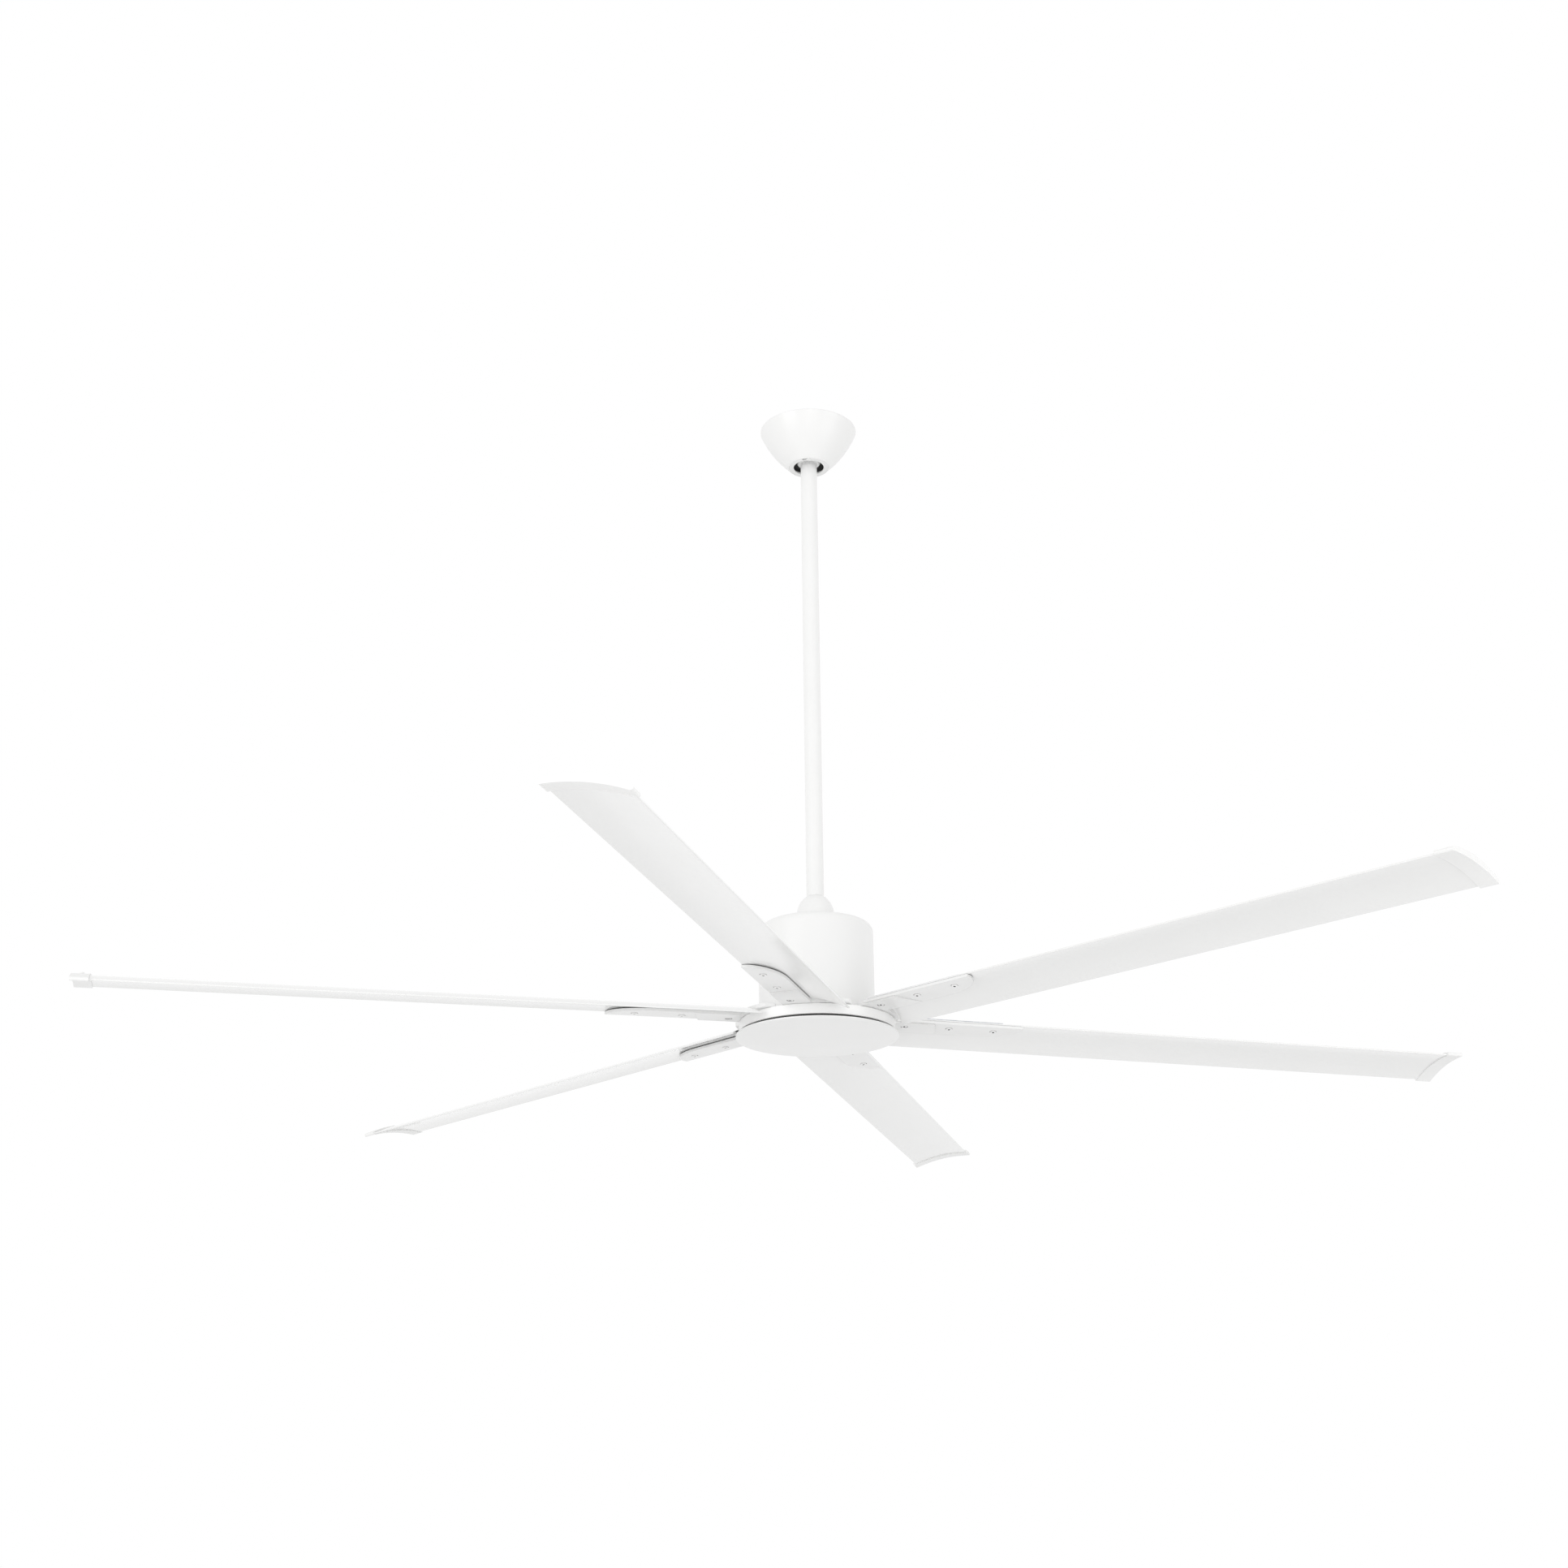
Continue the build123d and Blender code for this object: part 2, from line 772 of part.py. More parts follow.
def make_circlips():
    clips = []
    for low in circlip_levels():
        high = low + circlip_thickness
        clip = tube(circlip_radius, bearing_bore - circlip_groove + running_fit, low, high)
        half = circlip_opening / 2
        clips.append(clip - block(0, circlip_radius + overrun, -half, half, low - overrun, high + overrun))
    return clips


def make_shaft_flange():
    body = tube(yoke_flange_radius, bearing_bore, shaft_top_z - shaft_flange, shaft_top_z)
    for hole in flange_screw_holes():
        body -= hole
    return body


def make_bearing_inner(low):
    ring = tube(bearing_bore + bearing_inner_wall, bearing_bore, low, low + bearing_width)
    return chamfer(ring.edges().filter_by(GeomType.CIRCLE), bearing_edge)


def make_bearing_outer(low):
    high = low + bearing_width
    inner = bearing_radius - bearing_outer_wall
    ring = tube(bearing_radius, inner, low, high)
    ring = chamfer(ring.edges().filter_by(GeomType.CIRCLE), bearing_edge)
    shield_bore = bearing_bore + bearing_inner_wall + body_gap
    for shield_low in (low + bearing_shield_inset, high - bearing_shield_inset - bearing_shield):
        ring += tube(inner, shield_bore, shield_low, shield_low + bearing_shield)
    return ring


def make_core():
    body = tube(core_ring_radius, stator_seat_radius, core_z, core_top_z)
    shoe_bore = core_radius - shoe_thickness
    tooth_low = (stator_seat_radius + core_ring_radius) / 2
    tooth_high = core_radius - shoe_thickness / 2
    tooth = block(tooth_low, tooth_high, -tooth_width / 2, tooth_width / 2, core_z, core_top_z)
    for copy in ring_of(tooth, tooth_count, 0):
        body += copy
    shoes = tube(core_radius, shoe_bore, core_z, core_top_z)
    half = shoe_gap / 2
    low = core_z - overrun
    high = core_top_z + overrun
    gap = block(core_ring_radius, core_radius + overrun, -half, half, low, high)
    for copy in ring_of(gap, tooth_count, 180.0 / tooth_count):
        shoes -= copy
    return body + shoes


def make_windings():
    start = core_ring_radius + coil_inset
    end = core_radius - shoe_thickness - coil_inset
    inner_half = tooth_width / 2 + coil_clearance
    outer_half = inner_half + coil_thickness
    low = core_z - coil_clearance
    high = core_top_z + coil_clearance
    coil = block(start, end, -outer_half, outer_half, low - coil_thickness, high + coil_thickness)
    coil = fillet(coil.edges().filter_by(Axis.X), coil_corner)
    coil -= block(start - overrun, end + overrun, -inner_half, inner_half, low, high)
    return ring_of(coil, tooth_count, 0)


def make_board():
    return tube(board_radius, board_bore, board_z, board_top_z)


def make_pillars():
    pillar = Pos(pillar_circle, 0, 0) * disc(pillar_radius, board_top_z, shaft_top_z)
    return ring_of(pillar, pillar_count, pillar_turn)


def make_board_parts():
    pieces = []
    capacitor = disc(capacitor_radius, board_top_z, board_top_z + capacitor_height)
    capacitor = fillet(capacitor.edges().group_by(Axis.Z)[-1], capacitor_vent)
    for azimuth in capacitor_azimuths:
        pieces.append(Rot(0, 0, azimuth) * Pos(part_circle, 0, 0) * capacitor)
    half = choke_size / 2
    choke = block(-half, half, -half, half, board_top_z, board_top_z + choke_height)
    pieces.append(Rot(0, 0, choke_azimuth) * Pos(part_circle, 0, 0) * choke)
    half = heat_sink_length / 2
    far = heat_sink_place + heat_sink_depth
    sink = block(-half, half, heat_sink_place, far, board_top_z, board_top_z + heat_sink_height)
    pitch = heat_sink_length / heat_sink_fins
    for fin in range(heat_sink_fins - 1):
        groove = (fin + 1) * pitch - half
        side = pitch * heat_sink_fin_share / 2
        sink -= block(
            groove - side,
            groove + side,
            heat_sink_place + heat_sink_base,
            far + overrun,
            board_top_z - overrun,
            board_top_z + heat_sink_height + overrun,
        )
    pieces.append(sink)
    half = socket_size / 2
    socket_top_z = board_top_z + socket_height
    pieces.append(block(socket_place - half, socket_place + half, -half, half, board_top_z, socket_top_z))
    return pieces


# Turning pieces of the motor
def make_cup():
    body = disc(cup_radius, boss_top_z, cup_top_z)
    body = fillet(body.edges().group_by(Axis.Z)[0], cup_edge)
    body -= disc(cup_bore, boss_top_z + cup_wall, cup_top_z + overrun)
    body -= disc(cup_hole_radius, boss_top_z - overrun, cup_top_z)
    for hole in rotor_screw_holes():
        body -= hole
    return body


def rotor_screw_holes():
    """Holes for the screws through the cup's floor into the hub's boss."""
    low = boss_top_z + cup_wall - rotor_screw_length
    hole = disc(rotor_screw_radius + running_fit, low, boss_top_z + cup_wall + overrun)
    return ring_of(Pos(rotor_screw_circle, 0, 0) * hole, rotor_screw_count, 0)


def make_rotor_screws():
    screw = pan_screw(rotor_screw_head, rotor_screw_head_height, rotor_screw_radius, rotor_screw_length)
    placed = Pos(rotor_screw_circle, 0, boss_top_z + cup_wall) * Rot(180, 0, 0) * screw
    return ring_of(placed, rotor_screw_count, 0)


def make_cap_plate():
    boss = bearing_radius + cap_boss_wall
    pocket = bearing_radius + running_fit
    body = disc(cup_radius, cup_top_z, cup_top_z + cup_wall)
    body += disc(boss, cup_top_z - cup_wall, upper_bearing_top_z)
    skirt = cup_bore - running_fit
    body += tube(skirt, skirt - cup_wall, cup_top_z - cap_skirt, cup_top_z)
    body -= disc(pocket, cup_top_z, upper_bearing_top_z + overrun)
    return body - disc(bearing_radius - bearing_lip, cup_top_z - overrun, cup_top_z + overrun)


def make_magnets():
    magnet_top_z = magnet_z + magnet_height
    ring = tube(cup_bore - running_fit, magnet_bore, magnet_z, magnet_top_z)
    half = magnet_gap / 2
    gap = block(0, cup_radius + overrun, -half, half, magnet_z - overrun, magnet_top_z + overrun)
    for copy in ring_of(gap, magnet_count, 0):
        ring -= copy
    return list(ring.solids())


def make_hub():
    body = disc(hub_radius, hub_bottom_z, hub_top_z)
    body = fillet(body.edges().group_by(Axis.Z)[-1], hub_edge)
    body -= disc(hub_radius - hub_wall, hub_bottom_z - overrun, hub_web_z)
    body += disc(hub_boss_radius, hub_web_z, boss_top_z)
    body -= disc(bearing_radius + running_fit, hub_bottom_z, lower_bearing_top_z)
    body -= disc(bearing_radius - bearing_lip, lower_bearing_top_z - overrun, boss_top_z + overrun)
    for hole in rotor_screw_holes():
        body -= hole
    for azimuth in blade_azimuths():
        for place in arm_screw_places():
            body -= Rot(0, 0, azimuth) * place * arm_screw_hole()
    return body


# Blades
def blade_azimuths():
    """Directions of the blades about the axis."""
    return [first_azimuth + 360.0 * blade / blade_count for blade in range(blade_count)]


def blade_frame():
    """Frame of a blade along +X: x outward, y towards the trailing edge, z away from the chord."""
    return Pos(0, blade_offset, blade_plane_z) * Rot(0, blade_droop, 0) * Rot(-blade_tilt, 0, 0)


def arch_level(half, edge, crown, across):
    """Level of the arc through both edges and the crown, at a place across the chord."""
    rise = crown - edge
    radius = (half**2 + rise**2) / (2 * rise)
    return crown - radius + (radius**2 - across**2) ** 0.5


def underside_level(across):
    """Level of the blade's underside."""
    return arch_level(blade_half_chord - blade_nose, -blade_nose, blade_underside_crown, across)


def top_level(across):
    """Level of the blade's top."""
    return arch_level(blade_half_chord - blade_nose, blade_nose, blade_top_crown, across)


def arched_bar(half_chord, nose, under_crown, top_crown, start, end):
    """Bar with the blade's kind of section: two arcs joined by a round nose at each edge."""
    half = half_chord - nose
    edges = [
        ThreePointArc((-half, -nose), (0, under_crown), (half, -nose)),
        ThreePointArc((half, -nose), (half_chord, 0), (half, nose)),
        ThreePointArc((half, nose), (0, top_crown), (-half, nose)),
        ThreePointArc((-half, nose), (-half_chord, 0), (-half, -nose)),
    ]
    section = Plane((start, 0, 0), x_dir=(0, 1, 0), z_dir=(1, 0, 0)) * make_face(edges)
    return extrude(section, end - start)


def following_bar(places, lows, highs, start, end):
    """Bar between two arcs, each given by its levels at three places across the chord."""
    low_points = list(zip(places, lows))
    high_points = list(zip(places, highs))
    edges = [
        ThreePointArc(*low_points),
        Line(low_points[2], high_points[2]),
        ThreePointArc(*high_points),
        Line(high_points[0], low_points[0]),
    ]
    section = Plane((start, 0, 0), x_dir=(0, 1, 0), z_dir=(1, 0, 0)) * make_face(edges)
    return extrude(section, end - start)


def blade_outside(grow):
    """Full shape of a blade, larger all round by a clearance. Its root is round about the fan's axis."""
    body = arched_bar(
        blade_half_chord + grow,
        blade_nose + grow,
        blade_underside_crown - grow,
        blade_top_crown + grow,
        0,
        blade_tip_radius + grow,
    )
    low = blade_plane_z - blade_half_chord
    high = blade_plane_z + blade_half_chord
    return body - blade_frame().inverse() * disc(blade_root_radius - grow, low, high)


def make_cavity(near, far):
    """Hollow of a blade between two places across the chord."""
    places = [near, (near + far) / 2, far]
    lows = [underside_level(place) + blade_wall for place in places]
    highs = [top_level(place) - blade_wall for place in places]
    return following_bar(places, lows, highs, 0, blade_tip_radius + overrun)


def blade_screw_places():
    """Places of the screws of one blade in its frame, evenly spaced."""
    pitch = (last_screw_radius - first_screw_radius) / (blade_screw_count - 1)
    return [Pos(first_screw_radius + pitch * turn, -blade_screw_lead, 0) for turn in range(blade_screw_count)]


def at_blade_screws(radius, low, high):
    """Upright cylinders at all screws of one blade."""
    return [place * disc(radius, low, high) for place in blade_screw_places()]


def make_blade():
    body = blade_outside(0)
    land_side = screw_land / 2 - blade_screw_lead
    body -= make_cavity(centre_rib / 2, blade_half_chord - cavity_inset)
    body -= make_cavity(land_side, -centre_rib / 2)
    for hole in at_blade_screws(blade_screw_radius + running_fit, -overrun, blade_top_crown + overrun):
        body -= hole
    hole_low = blade_top_crown + cap_face_wall - cap_screw_length
    hole = disc(cap_screw_radius + running_fit, hole_low, blade_top_crown + overrun)
    return body - Pos(cap_screw_place(), 0, 0) * hole


def cap_screw_place():
    """Distance of the cap's screw from the fan's axis."""
    return blade_tip_radius + cap_end_wall - cap_screw_inset


def make_backing_plate():
    half = backing_width / 2
    places = [-blade_screw_lead - half, -blade_screw_lead, -blade_screw_lead + half]
    lows = [top_level(place) + running_fit for place in places]
    highs = [low + backing_thickness for low in lows]
    body = following_bar(places, lows, highs, backing_start, backing_end)
    for hole in at_blade_screws(blade_screw_radius + running_fit, 0, blade_top_crown + overrun):
        body -= hole
    return body


# Blade arms
def fin_top(across):
    """Level of the fin's top: it rises from the leading edge towards its inner edge."""
    return fin_rise * (blade_half_chord + across) / fin_width - fin_lead_drop


def fin_slab(start, end, near, far, near_depth, far_depth):
    """Slab under the fin's top plane, with a depth at each of its two long sides."""
    edges = Polyline(
        (near, fin_top(near)),
        (far, fin_top(far)),
        (far, fin_top(far) - far_depth),
        (near, fin_top(near) - near_depth),
        close=True,
    )
    section = Plane((start, 0, 0), x_dir=(0, 1, 0), z_dir=(1, 0, 0)) * make_face(edges)
    return extrude(section, end - start)


def fin_plan():
    """Plan of the fin: straight sides and a quarter ellipse at the tip."""
    lead = -blade_half_chord
    inner = lead + fin_width
    reach = fin_tip_radius - fin_straight_end
    curve = EllipticalCenterArc((fin_straight_end, lead), reach, fin_width, 0, arc_size=quarter_turn)
    edges = [
        Line((fin_start_radius, lead), curve @ 0),
        curve,
        Line(curve @ 1, (fin_start_radius, inner)),
        Line((fin_start_radius, inner), (fin_start_radius, lead)),
    ]
    return make_face(edges)


def make_fin():
    lead = -blade_half_chord
    inner = lead + fin_width
    lead_depth = fin_thickness + pad_lead_drop
    inner_depth = fin_thickness + pad_inner_drop
    deep = lead_depth + overrun
    body = fin_slab(fin_start_radius, fin_tip_radius, lead, inner, fin_thickness, fin_thickness)
    body &= extrude(fin_plan(), deep, both=True)
    underside = min(body.faces(), key=lambda face: face.normal_at().Z)
    body = fillet(underside.edges(), fin_edge)
    pad_plan = make_face(
        Polyline(
            (fin_start_radius, lead + pad_lip),
            (pad_lead_end, lead + pad_lip),
            (pad_inner_end, inner),
            (fin_start_radius, inner),
            close=True,
        )
    )
    pad = fin_slab(fin_start_radius, pad_inner_end, lead, inner, lead_depth, inner_depth)
    pad &= extrude(pad_plan, deep, both=True)
    return body, pad


def make_tongue():
    """Flat root of an arm on the hub's top, rounded about the fan's axis."""
    flat = make_face(
        Polyline(
            (tongue_inner_radius, -tongue_inner_half),
            (tongue_flare_radius, -tongue_leading),
            (tongue_outer_radius, -tongue_leading),
            (tongue_outer_radius, tongue_trailing),
            (tongue_trailing_radius, tongue_trailing),
            (tongue_inner_radius, tongue_inner_half),
            close=True,
        )
    )
    body = Pos(0, 0, hub_top_z) * extrude(flat, tongue_thickness)
    body &= disc(tongue_outer_radius, hub_top_z, tongue_top_z)
    return fillet(body.edges().filter_by(Axis.Z).group_by(Axis.X)[0], tongue_corner)


def arm_screw_places():
    """Places of the screws that hold an arm along +X."""
    return [Pos(reach, -lead, 0) for reach, lead in zip(arm_screw_radii, arm_screw_offsets)]


def arm_screw_hole():
    """Hole through the hub's web into an arm."""
    return disc(arm_screw_radius + running_fit, hub_web_z - overrun, hub_web_z + arm_screw_length)


def make_arm():
    fin, pad = make_fin()
    seat = blade_seat_level()
    for boss in at_blade_screws(boss_radius, fin_top(-blade_screw_lead) - fin_thickness / 2, boss_height):
        fin += boss
    fin += pad
    deep = boss_height + overrun
    for hole in at_blade_screws(blade_screw_radius + running_fit, -deep, deep):
        fin -= hole
    for face in at_blade_screws(spot_face_radius, seat - overrun, seat):
        fin -= face
    fin -= blade_outside(running_fit)
    body = make_tongue() + blade_frame() * fin
    for place in arm_screw_places():
        body -= place * arm_screw_hole()
    return body


def blade_seat_level():
    """Level of the spot faces under the fin."""
    return fin_top(-blade_screw_lead) - fin_thickness + blade_screw_seat


def make_blade_screws():
    seat = blade_seat_level()
    end = top_level(blade_screw_lead) + backing_thickness - blade_screw_end_inset
    screw = pan_screw(blade_screw_head, blade_screw_head_height, blade_screw_radius, end - seat)
    return [place * Pos(0, 0, seat) * screw for place in blade_screw_places()]


def make_arm_screws():
    screw = pan_screw(arm_screw_head, arm_screw_head_height, arm_screw_radius, arm_screw_length)
    return [place * Pos(0, 0, hub_web_z) * screw for place in arm_screw_places()]


# Tip caps
def make_cap():
    end = blade_tip_radius + cap_end_wall
    body = arched_bar(
        blade_half_chord + cap_side_wall,
        cap_nose,
        blade_underside_crown - cap_face_wall,
        blade_top_crown + cap_face_wall,
        end - cap_length,
        end,
    )
    body -= blade_outside(running_fit)
    hole = disc(cap_screw_radius + running_fit, blade_top_crown, blade_top_crown + overrun)
    return body - Pos(cap_screw_place(), 0, 0) * hole


def make_cap_screw():
    screw = pan_screw(cap_screw_head, cap_screw_head_height, cap_screw_radius, cap_screw_length)
    return Pos(cap_screw_place(), 0, blade_top_crown + cap_face_wall) * Rot(180, 0, 0) * screw


# Bottom cover
def make_dish():
    bevel_z = dish_top_z - dish_bevel_depth
    inner_radius = dish_radius - dish_wall
    inner_z = bevel_z + dish_wall
    outside = TangentArc((0, 0, dish_bottom_z), (dish_bevel_radius, 0, bevel_z), tangent=(1, 0, 0))
    inside = TangentArc((0, 0, dish_bottom_z + dish_wall), (inner_radius, 0, inner_z), tangent=(1, 0, 0))
    edges = [
        outside,
        Line(outside @ 1, (dish_radius, 0, dish_top_z - dish_rim)),
        Line((dish_radius, 0, dish_top_z - dish_rim), (dish_radius, 0, dish_top_z)),
        Line((dish_radius, 0, dish_top_z), (inner_radius, 0, dish_top_z)),
        Line((inner_radius, 0, dish_top_z), inside @ 1),
        inside,
        Line(inside @ 0, outside @ 0),
    ]
    body = turned(edges)
    spigot_low = bevel_z + dish_wall / 2
    spigot = disc(spigot_radius, spigot_low, spigot_top())
    spigot -= disc(spigot_radius - spigot_wall, spigot_low, spigot_top())
    return body + spigot


def spigot_top():
    """Top of the cover's spigot inside the hub."""
    return dish_top_z + spigot_height


def make_clips():
    """Sprung clips over the spigot's edge that hold the cover in the hub."""
    low = spigot_top() - clip_height
    high = spigot_top() + clip_thickness
    outer = spigot_radius + running_fit + clip_thickness
    inner = spigot_radius - spigot_wall - running_fit - clip_thickness
    clip = tube(outer, inner, low, high)
    clip -= disc(spigot_radius + running_fit, low - overrun, spigot_top()) - disc(
        inner + clip_thickness, low - overrun, spigot_top()
    )
    clip &= block(0, outer, -clip_width / 2, clip_width / 2, low, high)
    return ring_of(clip, clip_count, clip_turn)


def save_all():
    """Builds and writes every node."""
    save(make_bracket(), "ceiling_bracket")
    save(make_earth_screw(), "earth_screw")
    save(make_receiver(), "receiver_case")
    save(make_terminal_block(), "terminal_block")
    save(make_canopy(), "canopy")
    save(make_canopy_screws(), "canopy_screws")
    save(make_liner(), "seat_liner")
    save(make_ball(), "hanger_ball")
    save(make_cross_pin(), "ball_cross_pin")
    save(make_grub_screws(), "grub_screws")
    save(make_rod(), "down_rod")
    save(make_lead(), "motor_lead")
    save(make_lead_plug(), "lead_plug")
    save(make_yoke(), "coupling_yoke")
    save(make_flange_screws(), "flange_screws")
    save(make_coupling_pin(), "coupling_pin")
    save(make_cotter(), "coupling_cotter")
    save(make_coupling_cover(), "coupling_cover")
    save(make_housing(), "motor_housing")
    save(make_shaft(), "motor_shaft")
    save(make_shaft_flange(), "shaft_flange")
    save(make_circlips(), "shaft_circlips")
    save(make_bearing_inner(upper_bearing_z), "upper_bearing_inner")
    save(make_bearing_inner(lower_bearing_z), "lower_bearing_inner")
    save(make_bearing_outer(upper_bearing_z), "upper_bearing_outer")
    save(make_bearing_outer(lower_bearing_z), "lower_bearing_outer")
    save(make_core(), "stator_core")
    save(make_windings(), "stator_windings")
    save(make_board(), "driver_board")
    save(make_pillars(), "board_pillars")
    save(make_board_parts(), "board_parts")
    save(make_cup(), "rotor_cup")
    save(make_cap_plate(), "rotor_cap")
    save(make_magnets(), "rotor_magnets")
    save(make_rotor_screws(), "rotor_screws")
    save(make_hub(), "rotor_hub")
    save(make_dish(), "bottom_cover")
    save(make_clips(), "cover_clips")
    arm = make_arm()
    blade = blade_frame() * make_blade()
    cap = blade_frame() * make_cap()
    plate = blade_frame() * make_backing_plate()
    blade_screws = [blade_frame() * screw for screw in make_blade_screws()]
    cap_screw = blade_frame() * make_cap_screw()
    arm_screws = make_arm_screws()
    plates = []
    all_blade_screws = []
    all_arm_screws = []
    cap_screws = []
    for number, azimuth in enumerate(blade_azimuths(), start=1):
        turn = Rot(0, 0, azimuth)
        save(turn * arm, f"blade_arm_{number}")
        save(turn * blade, f"blade_{number}")
        save(turn * cap, f"tip_cap_{number}")
        plates.append(turn * plate)
        all_blade_screws.extend(turn * screw for screw in blade_screws)
        all_arm_screws.extend(turn * screw for screw in arm_screws)
        cap_screws.append(turn * cap_screw)
    save(plates, "backing_plates")
    save(all_blade_screws, "blade_screws")
    save(all_arm_screws, "arm_screws")
    save(cap_screws, "cap_screws")


os.makedirs("parts", exist_ok=True)
save_all()
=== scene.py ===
"""Looks of a six-blade ceiling fan on a down rod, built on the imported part.

All lengths are in metres, in the part's own frame: the origin is the centre of the ceiling face
and +Z is up.
"""

from __future__ import annotations

import logging
import math
from abc import ABC, abstractmethod
from dataclasses import dataclass, field
from enum import Enum

import bpy
from mathutils import Matrix, Vector

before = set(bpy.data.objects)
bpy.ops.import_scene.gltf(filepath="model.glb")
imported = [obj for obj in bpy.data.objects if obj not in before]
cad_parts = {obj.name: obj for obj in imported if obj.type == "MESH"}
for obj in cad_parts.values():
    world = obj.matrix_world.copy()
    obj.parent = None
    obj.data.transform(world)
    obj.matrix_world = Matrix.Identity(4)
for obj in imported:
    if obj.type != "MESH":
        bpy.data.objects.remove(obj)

# A colour, a point or three scales
Triple = tuple[float, float, float]

LOG = logging.getLogger("ceiling_fan")
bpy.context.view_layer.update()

WHITE = (1.0, 1.0, 1.0)
FULL_TURN = 360.0
NOISE_MIDDLE = 0.5
BEVEL_SAMPLES = 4
OWN_SAMPLES = 4
NEIGHBOUR_SAMPLES = 8

# Places of the Mix node's colour inputs and of its colour output
MIX_SHARE, MIX_UNDER, MIX_OVER = 0, 6, 7
MIX_RESULT = 2


class Grain(Enum):
    """Direction of the fine lines that a maker's tool leaves on a surface."""

    EVEN = "even"
    LENGTHWISE = "lengthwise"
    ROUND = "round"


@dataclass(frozen=True)
class Pattern:
    """A soft random pattern.

    Attributes:
        per_metre: How many times it changes in a metre.
        detail: How many finer layers it has.
    """

    per_metre: float
    detail: float = 2.0


class Value:
    """A number that varies over a surface: one output of a node tree."""

    def __init__(self, graph: Graph, socket: bpy.types.NodeSocket) -> None:
        """Wraps an output.

        Args:
            graph: The tree that holds the output.
            socket: The output itself.
        """
        self.graph = graph
        self.socket = socket

    def _math(self, operation: str, first: Value | float, second: Value | float) -> Value:
        """Adds one Math node.

        Args:
            operation: The node's operation.
            first: Its first input.
            second: Its second input.

        Returns:
            The node's result.
        """
        made = self.graph.node("ShaderNodeMath", {"operation": operation}, {0: first, 1: second})
        return Value(self.graph, made.outputs[0])

    def __add__(self, other: Value | float) -> Value:
        """Sum with a value or number on the right."""
        return self._math("ADD", self, other)

    def __radd__(self, other: float) -> Value:
        """Sum with a number on the left."""
        return self._math("ADD", other, self)

    def __sub__(self, other: Value | float) -> Value:
        """Difference with a value or number on the right."""
        return self._math("SUBTRACT", self, other)

    def __rsub__(self, other: float) -> Value:
        """Difference with a number on the left."""
        return self._math("SUBTRACT", other, self)

    def __mul__(self, other: Value | float) -> Value:
        """Product with a value or number on the right."""
        return self._math("MULTIPLY", self, other)

    def __truediv__(self, other: Value | float) -> Value:
        """Quotient by a value or number."""
        return self._math("DIVIDE", self, other)

    def __pow__(self, other: float) -> Value:
        """Power with a fixed exponent."""
        return self._math("POWER", self, other)

    def __gt__(self, other: Value | float) -> Value:
        """1 where this value is greater, else 0."""
        return self._math("GREATER_THAN", self, other)

    def __abs__(self) -> Value:
        """Size without its sign."""
        return self._math("ABSOLUTE", self, 0.0)

    def wave(self) -> Value:
        """Sine of this value in radians."""
        return self._math("SINE", self, 0.0)

    def angle_from(self, across: Value) -> Value:
        """Angle of the point (across, self) about the origin."""
        return self._math("ARCTAN2", self, across)

    def clamped(self) -> Value:
        """Kept between 0 and 1."""
        return self._math("MINIMUM", self._math("MAXIMUM", self, 0.0), 1.0)

    def swung(self, amount: float) -> Value:
        """A noise about its middle, times an amount."""
        return (self - NOISE_MIDDLE) * amount


def off_axis(x: Value, y: Value) -> Value:
    """Distance of a point from the vertical axis."""
    return (x * x + y * y) ** 0.5


